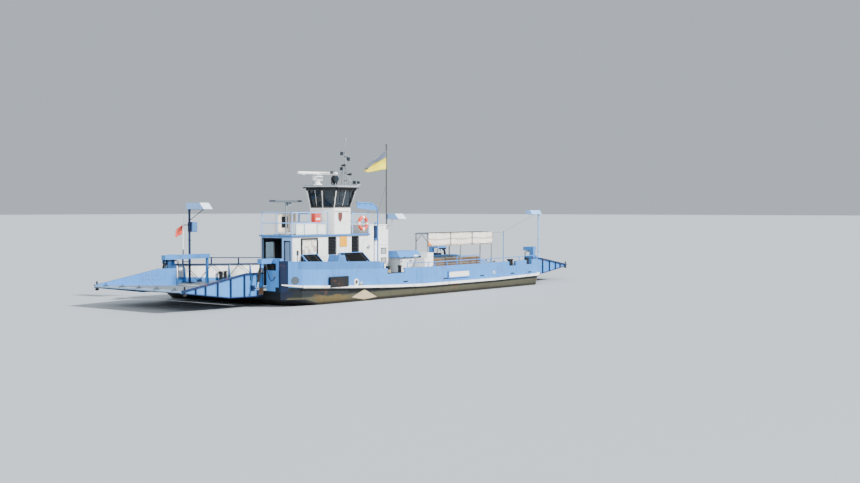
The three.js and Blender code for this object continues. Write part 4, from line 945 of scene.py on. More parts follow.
DECK = 0.65
NEAR_WALL = -2.651
PLATING = 4.151
END_X = 9.65
HINGE_OUT = 0.075
RAMP_LENGTH = 4.33
RAMP_RISE = 0.22


def ramp_point(end, x, y, z):
    """A point of the right ramp, and for the left one the same point turned half round."""
    return (end * (END_X + HINGE_OUT + x), end * y, z)


def ramp_treads(end, name):
    s = Shape()
    for x in stepped(0.35, 3.95, sizes().tread_step):
        z = DECK + RAMP_RISE * x / RAMP_LENGTH
        s.slab(about(ramp_point(end, x, 0, z)[0], 0.014), (-2.55, 2.55), (z - 0.004, z + 0.014), 0.003)
    s.make(f"ramp_{name}_treads", "grey", f"ramp_{name}", "dark_metal")


def ramp_hooks(end, name):
    """Eye plates on the steel lip that lands on the bank, and the hooks at its corners."""
    s = Shape()
    for across in (-2.2, -1.1, 0.0, 1.1, 2.2):
        x, y, z = ramp_point(end, RAMP_LENGTH - 0.12, across, 0.888)
        s.slab(about(x, 0.13), about(y, 0.05), (z - 0.02, z), 0.005)
        s.ring((x, y, z + 0.035), ACROSS, 0.045, 0.012, 20, 8)
    for across in (-2.8, 2.8):
        x, y, z = ramp_point(end, RAMP_LENGTH - 0.02, across, 0.87)
        s.post(x - end * 0.1, y, z - 0.22, z + 0.17, 0.036, soft=0.006)
        s.rod((x - end * 0.26, y, z), (x + end * 0.03, y, z), 0.03, soft=0.006)
        s.slab(about(x - end * 0.1, 0.07), about(y, 0.05), (z - 0.2, z - 0.13), 0.01)
    s.make(f"ramp_{name}_hooks", "black", f"ramp_{name}")


def ramp_brackets(end, name):
    s = Shape()
    for across in (-2.835, 2.835):
        out = end if across > 0 else -end
        x, y, _ = ramp_point(end, 0.2, across, 0.62)
        s.slab(about(x, 0.13), about(y, 0.02), (0.5, 0.8), 0.012)
        heads = [(x + dx, y + out * 0.02, z) for dx in (-0.08, 0.08) for z in (0.56, 0.74)]
        s.bolts(heads, (0, out, 0), 0.016, 0.016)
        x, y, _ = ramp_point(end, 0.75, across * 0.9815, 1.22)
        s.slab(about(x, 0.02), about(y, 0.018), (1.12, 1.32), 0.008, 1)
    s.make(f"ramp_{name}_brackets", "rusty black", f"ramp_{name}")


class FERRY_OT_ramps(bpy.types.Operator):
    """Tread strips, tip hooks and hinge brackets of the two ramps"""

    bl_idname = "ferry.ramps"
    bl_label = "Ramp fittings"

    def execute(self, context):
        for end, name in ENDS:
            ramp_treads(end, name)
            ramp_hooks(end, name)
            ramp_brackets(end, name)
        return {"FINISHED"}


HOSE_WIDTH = 0.032
HOSE_DROP = 0.42
GALLOWS_Y = 3.08


def pipes(end, side, where):
    """Two pipes that turn down at the hull, with their block and clips."""
    y = side * GALLOWS_Y
    s = Shape()
    for z, inward in ((1.765, 0.08), (1.735, 0.02)):
        path = ((0.33, z), (-0.12, z), (-0.2, z - 0.06), (-0.2, 1.2))
        s.tube([(end * (END_X + out), y - side * inward, up) for out, up in path], 0.014, 8)
    s.slab(about(end * (END_X + 0.34), 0.09), (y - 0.11, y + 0.03), (1.71, 1.798), 0.01)
    s.row([end * (END_X + dx) for dx in (0.05, 0.55)], 0.02, (y - 0.1, y + 0.02), (1.72, 1.80), 0.004)
    s.make(f"pipes_{where}", "black")


def hose(end, side, where):
    """A slack hose from the gallows' block back to the hull's pipe, in one low loop."""
    a = Vector((end * (END_X + 0.3), side * 3.16, 1.785))
    b = Vector((end * (END_X + 0.02), side * 3.40, 1.30))
    points = [a.lerp(b, i / 20) for i in range(21)]
    for i, p in enumerate(points):
        p.z -= HOSE_DROP * math.sin(math.pi * (i / 20)) ** 0.9
    s = Shape()
    s.tube(points, HOSE_WIDTH / 2, 10)
    slack = s.make(f"hose_{where}", "rubber", smooth=40)
    s = Shape()
    for p, q in ((points[0], points[1]), (points[-1], points[-2])):
        s.rod(p + (p - q).normalized() * 0.03, p + (q - p).normalized() * 0.045, 0.022, 6)
        s.slab(about(p.x, 0.03), about(p.y, 0.03), (p.z - 0.005, p.z + 0.02), 0.005)
    ends = s.make(f"hose_ends_{where}", "steel")


def cylinder_bands(end, side, where):
    """Bands, gland and feed pipe of the barrel, which swing with it."""
    top = Vector((end * (END_X + 0.52), side * GALLOWS_Y, 1.69))
    eye = Vector((end * (END_X + 0.70), side * GALLOWS_Y, 0.80))
    along = (eye - top).normalized()
    s = Shape()
    for distance, radius, tall in ((0.16, 0.068, 0.05), (0.40, 0.068, 0.03), (0.585, 0.074, 0.06)):
        s.rod(top + along * distance, top + along * (distance + tall), radius, 24, soft=0.004)
    out = Vector((0, side, 0))
    start = top + along * 0.2
    s.rod(start, start - out * 0.1, 0.018, 8, mat=1)
    s.rod(start - out * 0.085, top + along * 0.56 - out * 0.085, 0.01, 8, mat=1)
    s.make(f"cylinder_bands_{where}", "black steel", f"cylinder_barrel_{where}")


class FERRY_OT_hydraulics(bpy.types.Operator):
    """Pipes, blocks and hoses at the gallows, and the bands of the cylinders"""

    bl_idname = "ferry.hydraulics"
    bl_label = "Hydraulics"

    def execute(self, context):
        for end, name in ENDS:
            for side, where in SIDES:
                for fit in (pipes, hose, cylinder_bands):
                    fit(end, side, f"{name}_{where}")
        return {"FINISHED"}


WALL_Y = -2.65
NEAR_OPENINGS = ((-5.66, -5.18), (-4.11, -3.67))
OPENING_Z = (2.06, 2.79)
INNER_WINDOWS = ((-7.7, -7.2), (-6.6, -5.9), (-5.2, -4.5))


def louvres():
    s = Shape()
    rows = 11
    z0, z1 = OPENING_Z
    for x0, x1 in NEAR_OPENINGS:
        s.border((x0 - 0.03, x1 + 0.03), (z0 - 0.03, z1 + 0.03), WALL_Y, 0.014, 0.035)
        s.slab((x0, x1), (WALL_Y + 0.05, WALL_Y + 0.062), (z0, z1))
        for i in range(rows):
            z = z0 + (i + 0.5) * (z1 - z0) / rows
            s.slab((x0, x1), (WALL_Y - 0.005, WALL_Y + 0.045), about(z, 0.005), turn=turn_by(38, "X"))
    s.make("house_louvres", "black")


def wall_boards():
    """Notice board, blank sign and yellow panel on the near wall."""
    s = Shape()
    s.slab((-7.33, -6.43), (WALL_Y - 0.02, WALL_Y), (1.83, 2.73), 0.004)
    s.border((-7.39, -6.37), (1.77, 2.79), WALL_Y - 0.002, 0.045, 0.06, 1)
    s.make("notice_board", "paper black")
    # Name, finish, limits, how far it stands off, easing, and size of the screws.
    for name, face, (x0, x1, z0, z1), proud, soft, screw in (
        ("sign_panel", "white_plastic", (-6.32, -5.77, 1.95, 2.70), 0.014, 0.006, 0.01),
        ("yellow_panel", "yellow", (-4.93, -4.45, 2.36, 2.82), 0.022, 0.008, 0.011),
    ):
        s = Shape()
        s.slab((x0, x1), (WALL_Y - proud, WALL_Y), (z0, z1), soft)
        heads = [(x, WALL_Y - proud, z) for x in (x0 + 0.04, x1 - 0.04) for z in (z0 + 0.04, z1 - 0.04)]
        s.bolts(heads, NEARWARD, screw, 0.008, 1)
        s.make(name, f"{face} steel")


def house_panes():
    s = Shape()
    for x0, x1 in INNER_WINDOWS:
        s.slab((x0 - 0.01, x1 + 0.01), (-0.78, -0.772), (1.84, 2.61))
    # The end window, in pale glass, is a painted reflection.
    s.slab((-7.909, -7.901), (-2.53, -2.19), (1.74, 2.66), mat=1)
    s.make("house_panes", "window pale_glass")
    s = Shape()
    for x0, x1 in INNER_WINDOWS:
        s.border((x0 - 0.05, x1 + 0.05), (1.80, 2.65), -0.735, 0.017, 0.05)
    rim = (-7.945, -7.925)
    for y0, y1, z0, z1 in ((-2.56, -2.16, 1.71, 2.69), (-2.04, -0.81, 0.66, 2.80)):
        s.slab(rim, (y0, y0 + 0.045), (z0, z1), 0.004)
        s.slab(rim, (y1 - 0.045, y1), (z0, z1), 0.004)
        s.slab(rim, (y0, y1), (z1 - 0.045, z1), 0.004)
    s.slab(rim, (-2.56, -2.16), (1.71, 1.75), 0.004)
    s.make("house_window_rims", "black")


def house_trim():
    """Rolled rims of the roof, the corner bars, and the step, hinges and rim of the side door."""
    s = Shape()
    left, right, near, far, top = -7.99, -2.94, -2.71, -0.69, 2.90
    edges = (((left, y, top), (right, y, top)) for y in (near, far))
    s.rods(0.028, 10, *edges, ((left, near, top), (left, far, top)))
    for y in (WALL_Y, -0.75):
        s.post(-7.93, y, 0.66, 2.84, 0.02, 8)
    s.make("house_rims", "blue")
    s = Shape()
    s.slab((-3.47, -2.93), (-2.93, -2.68), (0.66, 0.76), 0.012)
    for z in (1.12, 2.30):
        s.slab((-2.99, -2.94), (-2.695, NEAR_WALL), about(z, 0.07), 0.006)
    s.make("side_door_step", "navy")
    s = Shape()
    for z in (1.11, 2.29):
        s.slab((-3.10, -3.025), (-2.694, -2.683), about(z, 0.035), 0.005, 1)
    s.border((-3.375, -3.02), (0.80, 2.60), -2.6525, 0.006, 0.03)
    s.slab((-3.37, -3.25), (-2.67, -2.655), (1.58, 1.72), 0.006, 1)
    s.make("side_door_furniture", "white black", "side_door")


def casing():
    """Navy band, seams and air grilles of the tall casing."""
    s = Shape()
    s.slab((-2.60, -2.36), (-2.662, NEAR_WALL), (2.60, 3.28), 0.003)
    s.make("casing_band", "navy")
    s = Shape()
    s.slabs(
        (-2.93, -1.57, -2.664, NEAR_WALL, 2.40, 2.43, 0.003),
        (-1.585, -1.569, -2.66, -0.74, 2.40, 2.43, 0.003),
        (-2.94, -1.56, -2.675, NEAR_WALL, 3.29, 3.335, 0.006),
        (-1.58, -1.56, -2.67, -0.73, 3.29, 3.335, 0.006),
    )
    s.make("casing_seams", "white")
    s = Shape()
    for z0 in (1.96, 1.50):
        s.border((-2.10, -1.72), (z0, z0 + 0.28), WALL_Y, 0.016, 0.03)
        for i in range(5):
            z = z0 + 0.05 + i * 0.045
            s.slab((-2.08, -1.74), (WALL_Y - 0.012, WALL_Y), (z, z + 0.02), 0.003)
    s.make("casing_grilles", "dim")


class FERRY_OT_house(bpy.types.Operator):
    """Louvres, panes, boards, rims and door furniture of the deckhouse and the casing"""

    bl_idname = "ferry.house"
    bl_label = "Deckhouse fittings"

    def execute(self, context):
        for fit in (louvres, wall_boards, house_panes, house_trim, casing):
            fit()
        return {"FINISHED"}


# Corners of the wheelhouse from the left round the near side, each at the sill, the head and the roof's edge.
CORNERS = (
    ((-5.6, -1.5), (-5.85, -1.5), (-5.95, -1.35)),
    ((-5.6, -2.24), (-5.85, -2.43), (-5.95, -2.465)),
    ((-5.28, -2.65), (-5.44, -2.95), (-5.489, -3.05)),
    ((-4.21, -2.65), (-4.12, -2.95), (-4.079, -3.05)),
    ((-4.1, -2.54), (-3.99, -2.82), (-3.89, -2.861)),
    ((-4.1, -1.5), (-3.99, -1.5), (-3.89, -1.35)),
)
SHIELD = ((-0.13, 0.2), (0.13, 0.2), (0.13, -0.04), (0.08, -0.15), (0, -0.22), (-0.08, -0.15), (-0.13, -0.04))
WHEELHOUSE_MIDDLE = (-4.85, -1.9)
SILL, HEAD = 4.1, 4.98
BACK_Y = -1.45


def on_pane(pane, u, v, back):
    """A point of a leaning pane, set back from its outer face."""
    a, b, c, d, out = pane
    return a.lerp(b, u).lerp(d.lerp(c, u), v) - out * back


def patch(pane, u0, u1, v0, v1, back):
    return [on_pane(pane, u, v, back) for u, v in ((u0, v0), (u1, v0), (u1, v1), (u0, v1))]


def wheelhouse_panes():
    """Panes with black seals, which leave a narrow white line at the corners, blinds and three strips."""
    panes, blinds, strips, seals = (Shape() for _ in range(4))
    for i in range(5):
        a, b = (Vector((*sill, SILL)) for sill, _, _ in CORNERS[i : i + 2])
        d, c = (Vector((*head, HEAD)) for _, head, _ in CORNERS[i : i + 2])
        out = (b - a).cross(d - a).normalized()
        if out.dot((a + c) / 2 - Vector((*WHEELHOUSE_MIDDLE, a.z))) <= 0:
            out = -out
        pane = (a, b, c, d, out)
        wide = (b - a).length
        edge, side, line = min(0.05 / wide, 0.2), min(0.09 / wide, 0.3), 0.028 / wide
        for limits in (
            (line, side, 0.01, 1.0),
            (1 - side, 1 - line, 0.01, 1.0),
            (side, 1 - side, 0.01, 0.10),
            (side, 1 - side, 0.9, 1.0),
        ):
            seals.panel(patch(pane, *limits, -0.001), 0.004)
        panes.panel(patch(pane, edge, 1 - edge, 0.05, 0.94, 0.045), 0.008)
        blinds.panel(patch(pane, edge, 1 - edge, 0.58 if i < 2 else 0.70, 0.95, 0.075), 0.006)
        if i % 2 == 0:
            strips.rod(on_pane(pane, 0.5, 0.05, 0.03), on_pane(pane, 0.5, 0.95, 0.03), 0.009, 8)
    for x0, x1 in ((-5.50, -5.19), (-4.41, -4.17)):
        panes.slab((x0, x1), (BACK_Y - 0.03, BACK_Y - 0.022), (4.21, 4.87))
    panes.make("wheelhouse_panes", "dark_glass")
    blinds.make("wheelhouse_blinds", "blind")
    seals.make("wheelhouse_seals", "rubber")
    strips.make("wheelhouse_window_strips", "white")


def wheelhouse_door_pane():
    s = Shape()
    s.slab((-5.0, -4.6), (BACK_Y - 0.023, BACK_Y - 0.017), (3.94, 4.71))
    s.border((-5.02, -4.58), (3.92, 4.73), BACK_Y + 0.015, 0.011, 0.04, 1)
    s.make("wheelhouse_door_pane", "dark_glass black", "wheelhouse_door")


def wheelhouse_inside():
    """Desk with screens, levers and wheel, and the seat."""
    s = Shape()
    s.slab((-5.28, -4.32), (-2.44, -2.02), (4.012, 4.05), 0.01)
    for x, turn in ((-5.0, 12), (-4.5, -12)):
        s.slab(about(x, 0.2), (-2.34, -2.30), (4.06, 4.34), 0.012, turn=turn_by(turn, "Z"))
        s.slab(about(x, 0.03), (-2.32, -2.28), (4.04, 4.1))
    for x in (-4.85, -4.75, -4.65):
        s.rod((x, -2.12, 4.04), (x, -2.16, 4.2), 0.011, 8)
        s.ball((x, -2.163, 4.215), 0.026, 10, 6)
    s.ring((-5.1, -2.0, 3.98), (0, 1, 0.25), 0.2, 0.014, 28, 8)
    s.slabs((-4.93, -4.57, -1.88, -1.58, 3.58, 3.67, 0.03), (-4.93, -4.57, -1.61, -1.54, 3.65, 4.26, 0.03))
    s.post(-4.75, -1.72, 2.94, 3.6, 0.045, 14)
    s.post(-4.75, -1.72, 2.932, 2.96, 0.17, 20)
    s.make("wheelhouse_inside", "rubber")


def wheelhouse_outside():
    """The rolled rim of the roof, a blank shield on a larger plate, wipers, the hand rail and a seam."""
    s = Shape()
    edge = [(*rim, 5.10) for _, _, rim in CORNERS]
    for p, q in zip(edge, [*edge[1:], edge[0]]):
        s.rod(p, q, 0.022, 10)
        s.ball(p, 0.022, 10, 6)
    s.make("wheelhouse_roof_rim", "grey")
    s = Shape()
    for grow, y, mat in ((1.16, NEAR_WALL, 1), (1.0, -2.659, 0)):
        s.panel([(-4.9 + dx * grow, y, 3.70 + dz * grow) for dx, dz in SHIELD], 0.01, mat, 0.002)
    s.make("blank_shield", "shield shade_white")
    s = Shape()
    for x in (-5.1, -4.45):
        s.rod((x, -2.93, 4.93), (x, -2.90, 4.86), 0.02, 10)
        s.rod((x, -2.915, 4.88), (x + 0.14, -2.80, 4.50), 0.008, 6)
        s.rod((x + 0.10, -2.855, 4.66), (x + 0.18, -2.745, 4.34), 0.011, 6)
    s.make("wipers", "rubber")
    s = Shape()
    s.slab((-4.87, -4.63), (-2.664, NEAR_WALL), (3.45, 3.78), 0.006)
    s.slab((-5.27, -4.22), (-2.661, NEAR_WALL), (2.945, 2.99), 0.003)
    s.rod((-5.24, -2.70, 3.98), (-4.25, -2.70, 3.98), 0.014, 8)
    s.rods(0.012, 8, *(((x, -2.70, 3.98), (x, -2.65, 3.98)) for x in (-5.22, -4.75, -4.27)))
    s.make("wheelhouse_fittings", "white")


class FERRY_OT_wheelhouse(bpy.types.Operator):
    """Panes, blinds, wipers, inner fittings and roof edge of the wheelhouse"""

    bl_idname = "ferry.wheelhouse"
    bl_label = "Wheelhouse fittings"

    def execute(self, context):
        for fit in (wheelhouse_panes, wheelhouse_door_pane, wheelhouse_inside, wheelhouse_outside):
            fit()
        return {"FINISHED"}


RADAR = (-5.4, -1.75)
SCANNER_Z = 5.5603
SCANNER_TURN = -10
SEARCHLIGHT = (-4.8, -2.2, 5.4103)
ROOF_Z = 5.1203
MAST = (-4.3, -2.42)
# Lanterns: from the mast across and along, height, radius, and how tall they are.
LANTERNS = (
    (-0.23, 0, 6.48, 0.06, 0.17),
    (0.20, 0, 6.24, 0.07, 0.19),
    (-0.26, 0, 5.80, 0.06, 0.16),
    (0.25, -0.33, 5.18, 0.06, 0.17),
    (0.30, -0.53, 5.18, 0.055, 0.15),
)


def radar():
    """Caps and seam of the scanner, set along its own y and turned with it, and the pedestal's bolts."""
    s = Shape()
    s.slabs(
        (-0.082, 0.082, -1.082, -1.03, 0.05, 0.178, 0.012, 1),
        (-0.082, 0.082, 1.03, 1.082, 0.05, 0.178, 0.012),
        (0.066, 0.078, -1.02, 1.02, 0.085, 0.115, 0.012, 1),
        (-0.11, 0.11, -0.2, 0.2, 0.03, 0.062, 0.012),
    )
    s.move(Matrix.Translation((*RADAR, SCANNER_Z)) @ turn_by(SCANNER_TURN, "Z", 4))
    s.make("radar_caps", "white_plastic rubber", "scanner")
    s = Shape()
    x, y = RADAR
    s.bolts([on_circle((x, y, 5.181), 0.165, math.tau * a / 8) for a in range(8)], UP, 0.014, 0.014)
    s.slab(about(x, 0.18), (y - 0.155, y - 0.145), (5.38, 5.50), 0.004)
    s.post(x - 0.15, y + 0.15, 5.13, 5.36, 0.016, 8)
    s.make("radar_bolts", "steel")


def searchlight():
    """Drum with its lens, cooling fins at the back, and yoke; it stands for the plain one."""
    x, y, z = SEARCHLIGHT
    s = Shape()
    s.rod((x, y - 0.13, z), (x, y + 0.06, z), 0.148, 28, soft=0.006)
    s.rod((x, y + 0.05, z), (x, y + 0.14, z), 0.12, 24, tip=0.06, soft=0.006)
    s.ring((x, y - 0.135, z), ACROSS, 0.14, 0.014, 36, 10)
    for k in range(4):
        s.ring((x, y - 0.06 + 0.035 * k, z), ACROSS, 0.149, 0.006, 32, 6)
    s.rod((x, y - 0.142, z), (x, y - 0.13, z), 0.132, 28, mat=1)
    for side in (-1, 1):
        s.slab(about(x + side * 0.1635, 0.0085), about(y, 0.03), (z - 0.25, z + 0.03), 0.005)
        s.rod((x + side * 0.145, y, z), (x + side * 0.185, y, z), 0.03, 14, soft=0.004)
    s.slab(about(x, 0.172), about(y, 0.03), (5.235, 5.26), 0.005)
    s.post(x, y, ROOF_Z, 5.24, 0.045, 18)
    s.post(x, y, ROOF_Z, 5.145, 0.09, 20, soft=0.005)
    s.make("searchlight_head", "black dark_glass", smooth=35, replaces=("searchlight",))


def mast():
    """Lanterns with their guards, then horns, collars, stays and aerials."""
    x, y = MAST
    s = Shape()
    for dx, dy, z, radius, tall in LANTERNS:
        there = (x + dx, y + dy)
        s.post(*there, z, z + 0.03, radius + 0.012, 20, soft=0.004, mat=1)
        s.post(*there, z + tall - 0.035, z + tall + 0.004, radius + 0.012, 20, tip=radius * 0.5, mat=1)
        s.post(*there, z + 0.03, z + tall - 0.035, radius + 0.003, 20)
        for a in range(4):
            px, py, _ = on_circle((*there, z), radius + 0.008, math.tau * (a + 0.5) / 4)
            s.post(px, py, z, z + tall, 0.005, 6, mat=1)
    s.make("mast_lanterns", "dark_glass black")
    s = Shape()
    for z, side in ((6.02, -1), (5.62, 1)):
        tip = x + side * 0.2
        s.rod((x, y, z), (tip, y - 0.02, z), 0.012, 8)
        s.rod((tip, y + 0.06, z), (tip, y - 0.16, z + 0.01), 0.022, 16, tip=0.065)
    for dz in (0.2, 0.55, 0.9, 1.3):
        s.post(x, y, 5.12 + dz, 5.15 + dz, 0.045, 14)
    stays = ((0.3, 0.85), (-0.5, -0.55), (0.36, 0.1))
    s.rods(0.005, 6, *(((x, y, 6.1), (x + dx, y + dy, 5.12)) for dx, dy in stays))
    s.rod((x + 0.3, y + 0.5, 5.12), (x + 0.34, y + 0.5, 6.0), 0.008, 6)
    s.post(x + 0.2, y + 0.95, 5.12, 5.75, 0.007, 6)
    s.ball((x + 0.2, y + 0.95, 5.17), 0.05, squash=(1, 1, 0.6))
    s.make("mast_horns_and_stays", "black")


class FERRY_OT_roof_gear(bpy.types.Operator):
    """Radar, searchlight and the lamps, horns and aerials of the mast"""

    bl_idname = "ferry.roof_gear"
    bl_label = "Roof gear"

    def execute(self, context):
        for fit in (radar, searchlight, mast):
            fit()
        return {"FINISHED"}


# Hoods: name, x, y, underside, height, the near end's slope, lens plates, and finishes of top and ends.
HOODS = (
    ("far_left", (-8.19, -7.68), (2.73, 3.95), 4.05, 0.28, 0.28, 4, "rail hood_end"),
    ("casing", (-1.45, -0.90), (-3.2, -2.4), 3.58, 0.24, 0.24, 3, "rail hood_end"),
    ("near_right", (8.5, 9.42), (-4.1, -3.7), 3.77, 0.2, 0.12, 3, "rail rail"),
    ("upper", (-7.75, -6.15), (-1.5, -1.1), 4.37, 0.07, 0.06, 5, "dim dim"),
)
HOOD_SKIN = 0.006


def lamp_hood(name, x, y, z, tall, slope, plates, finishes):
    """A hood of folded sheet, its skirt left open below, over a row of lens plates."""
    s = Shape()
    long = 0 if x[1] - x[0] > y[1] - y[0] else 1
    low, high = (x, y)[long]
    for i in range(plates):
        spot = [sum(x) / 2, sum(y) / 2]
        spot[long] = low + (i + 0.5) * (high - low) / plates
        s.slab(about(spot[0], 0.1), about(spot[1], 0.1), (z - 0.02, z - 0.001), 0.006)
    s.make(f"lamp_lens_{name}", "lens")
    s = Shape()
    (x0, x1), (y0, y1) = ((v[0] - HOOD_SKIN, v[1] + HOOD_SKIN) for v in (x, y))
    corners = [(x0, y0, z), (x1, y0, z), (x1, y1, z), (x0, y1, z)]
    bottom, top = s.lifted(corners, lambda face: (0, 0, tall + HOOD_SKIN))
    for v in top:
        v.co.y += slope if v.co.y < sum(y) / 2 else 0
    bmesh.ops.delete(s.bm, geom=[bottom], context="FACES_ONLY")
    bmesh.ops.recalc_face_normals(s.bm, faces=s.bm.faces)
    bmesh.ops.solidify(s.bm, geom=list(s.bm.faces), thickness=-0.004)
    for face in s.bm.faces:
        # The ends take the second finish, on two hoods a painted highlight.
        face.material_index = 1 if abs(face.normal.y) > 0.3 else 0
    s.make(f"lamp_hood_{name}", finishes, slot="blue_paint")


def far_post():
    """Box, clamps and staff of the post on the far side."""
    s = Shape()
    s.slabs(
        (-8.068, -7.752, 3.692, 3.948, 2.992, 3.458, 0.012),
        (-8.04, -7.78, 3.68, 3.70, 3.02, 3.43, 0.008),
        (-7.80, -7.785, 3.66, 3.685, 3.2, 3.26, 0.004, 1),
    )
    s.make("far_post_box", "box_blue steel")
    x, y = -8.12, 3.82
    s = Shape()
    for z in (0.72, 1.62, 2.6, 3.32, 3.98):
        s.post(x, y, z, z + 0.04, 0.066, 18, soft=0.004)
    s.slab(about(x, 0.16), (3.66, 3.98), (0.6545, 0.68), 0.006)
    s.rod((x + 0.05, y, 3.55), (-7.93, 3.05, 4.04), 0.018, 8)
    s.make("far_post_clamps", "navy")
    s = Shape()
    s.post(-8.5, y, 2.2, 3.76, 0.0275)
    s.ball((-8.5, y, 3.775), 0.04)
    s.make("far_staff_top", "white")


def pipe_clamps():
    s = Shape()
    for z in (1.5, 2.6, 3.35):
        s.post(-2.5, -2.8, z, z + 0.05, 0.046, 16, soft=0.004)
        s.slab((-2.56, -2.44), (-2.675, NEAR_WALL), (z - 0.02, z + 0.09), 0.004)
    s.row((-2.95, -3.35, -3.75), 0.02, (-2.84, -2.78), (4.25, 4.35), 0.004)
    s.make("casing_pipe_clamps", "blue")


class FERRY_OT_lamp_posts(bpy.types.Operator):
    """Painted hoods with their lenses, and the clamps and blue box of the posts"""

    bl_idname = "ferry.lamp_posts"
    bl_label = "Lamp posts"

    def execute(self, context):
        for hood in HOODS:
            lamp_hood(*hood)
        far_post()
        pipe_clamps()
        return {"FINISHED"}


DECK_Z = 2.93
BUOY_RADIUS = 0.27


def rail_boards():
    """Blank boards on the near railing."""
    for i, (x0, x1, top, face) in enumerate((
        (-7.70, -7.22, 3.42, "mint"),
        (-7.17, -6.44, 3.42, "white_plastic"),
        (-6.39, -5.86, 3.40, "mint"),
    )):
        s = Shape()
        s.slab((x0 - 0.004, x1 + 0.004), (-2.676, -2.662), (2.956, top + 0.004), 0.005)
        s.border((x0 - 0.01, x1 + 0.01), (2.95, top + 0.01), -2.672, 0.014, 0.022, 1)
        s.slab((x0 + 0.1, x1 - 0.1), (-2.682, -2.675), (3.06, top - 0.1), 0.003, 2)
        s.make(f"rail_board_{i + 1}", f"{face} shade_white white_plastic")


def chests():
    """Orange box on the near rail and the beige cabinets on the far one, with doors that don't open."""
    s = Shape()
    s.slabs(
        (-6.526, -6.134, -2.636, -2.424, 3.454, 3.856, 0.02),
        (-6.505, -6.155, -2.655, -2.635, 3.485, 3.80, 0.012),
        (-6.532, -6.128, -2.66, -2.42, 3.80, 3.864, 0.014),
        (-6.46, -6.20, -2.659, -2.654, 3.58, 3.66, 0.002, 2),
    )
    s.row((-6.44, -6.22), 0.02, (-2.668, -2.655), (3.74, 3.82), 0.004, 1)
    s.make("rescue_box", "orange steel white_plastic")
    s = Shape()
    for (x0, x1), (z0, z1), (dx, dz) in (
        ((-7.0, -6.22), (3.02, 3.92), (0.2, 0.2)),
        ((-6.13, -5.88), (3.42, 3.90), (0.12, 0.1)),
    ):
        s.slab((x0 - 0.005, x1 + 0.005), (-0.845, -0.635), (z0 - 0.005, z1 + 0.005), 0.014)
        s.slab((x0 + 0.03, x1 - 0.03), (-0.862, -0.844), (z0 + 0.04, z1 - 0.04), 0.008)
        s.slab((x0 + dx, x1 - dx), (-0.868, -0.861), (z0 + dz, z1 - dz), 0.004, 1)
    s.make("rail_cabinets", "beige black")


def railing_details():
    """Flanges and caps of the railing's posts, the deck's seams and a hatch."""
    s = Shape()
    posts = [(x, y) for x in (-7.9, -6.9, -5.66, -4.04, -2.96) for y in (-2.62, -0.78)]
    for x, y in (*posts, (-7.9, -1.7), (-5.58, -0.78)):
        s.post(x, y, 2.9303, 2.942, 0.055, 16)
        s.ball((x, y, 3.917), 0.03, 12, 8)
    s.make("rail_flanges", "blue")
    s = Shape()
    s.row((-7.2, -6.5), 0.01, (-2.6, -0.8), (2.929, 2.934))
    s.slab((-7.7, -7.1), (-1.9, -1.3), (DECK_Z, 2.975), 0.01)
    s.row((-7.6, -7.2), 0.03, (-1.94, -1.88), (DECK_Z, 2.985), 0.006)
    s.make("roof_hatch", "grey")


def lifebuoy(name, centre, thick, replaced):
    """A ring with four white bands, and the line round it."""
    s = Shape()
    s.ring(centre, ACROSS, BUOY_RADIUS, thick, 56, 18)
    for face in s.bm.faces:
        c = face.calc_center_median() - Vector(centre)
        angle = math.degrees(math.atan2(c.z, c.x)) % 90
        face.material_index = 1 if angle < 13 or angle > 77 else 0
    flat = Matrix.Translation(-Vector(centre))
    bmesh.ops.scale(s.bm, vec=(1, 0.8, 1), verts=list(s.bm.verts), space=flat)
    s.make(name, "orange white_plastic", smooth=60, replaces=replaced)
    s = Shape()
    points = []
    for i in range(49):
        angle = math.tau * i / 48
        sag = 0.022 * abs(math.sin(2 * angle + math.pi / 2)) ** 0.7
        points.append(on_circle(centre, BUOY_RADIUS + thick + 0.012 + sag, angle, True))
    s.tube(points, 0.007, 8)
    for k in range(4):
        angle = math.tau * (k + 0.5) / 4
        ends = [on_circle(centre, BUOY_RADIUS + thick + out, angle, True) for out in (-0.02, 0.028)]
        s.rod(*ends, 0.013, 8)
    s.make(f"{name}_line", "rope")


class FERRY_OT_upper_deck(bpy.types.Operator):
    """Boards, boxes and hatch of the railed upper deck, and the two lifebuoys"""

    bl_idname = "ferry.upper_deck"
    bl_label = "Upper deck gear"

    def execute(self, context):
        rail_boards()
        chests()
        railing_details()
        lifebuoy("lifebuoy_near", (-3.43, -2.7194, 3.4), 0.078, ("lifebuoy",))
        lifebuoy("lifebuoy_inner", (-3.27, -0.70, 3.45), 0.075, ())
        return {"FINISHED"}


# The gas bottle's outline: radius and height.
BOTTLE = (
    (0.0, 2.602),
    (0.125, 2.602),
    (0.139, 2.625),
    (0.139, 3.06),
    (0.13, 3.12),
    (0.10, 3.17),
    (0.05, 3.195),
    (0.0, 3.2),
)


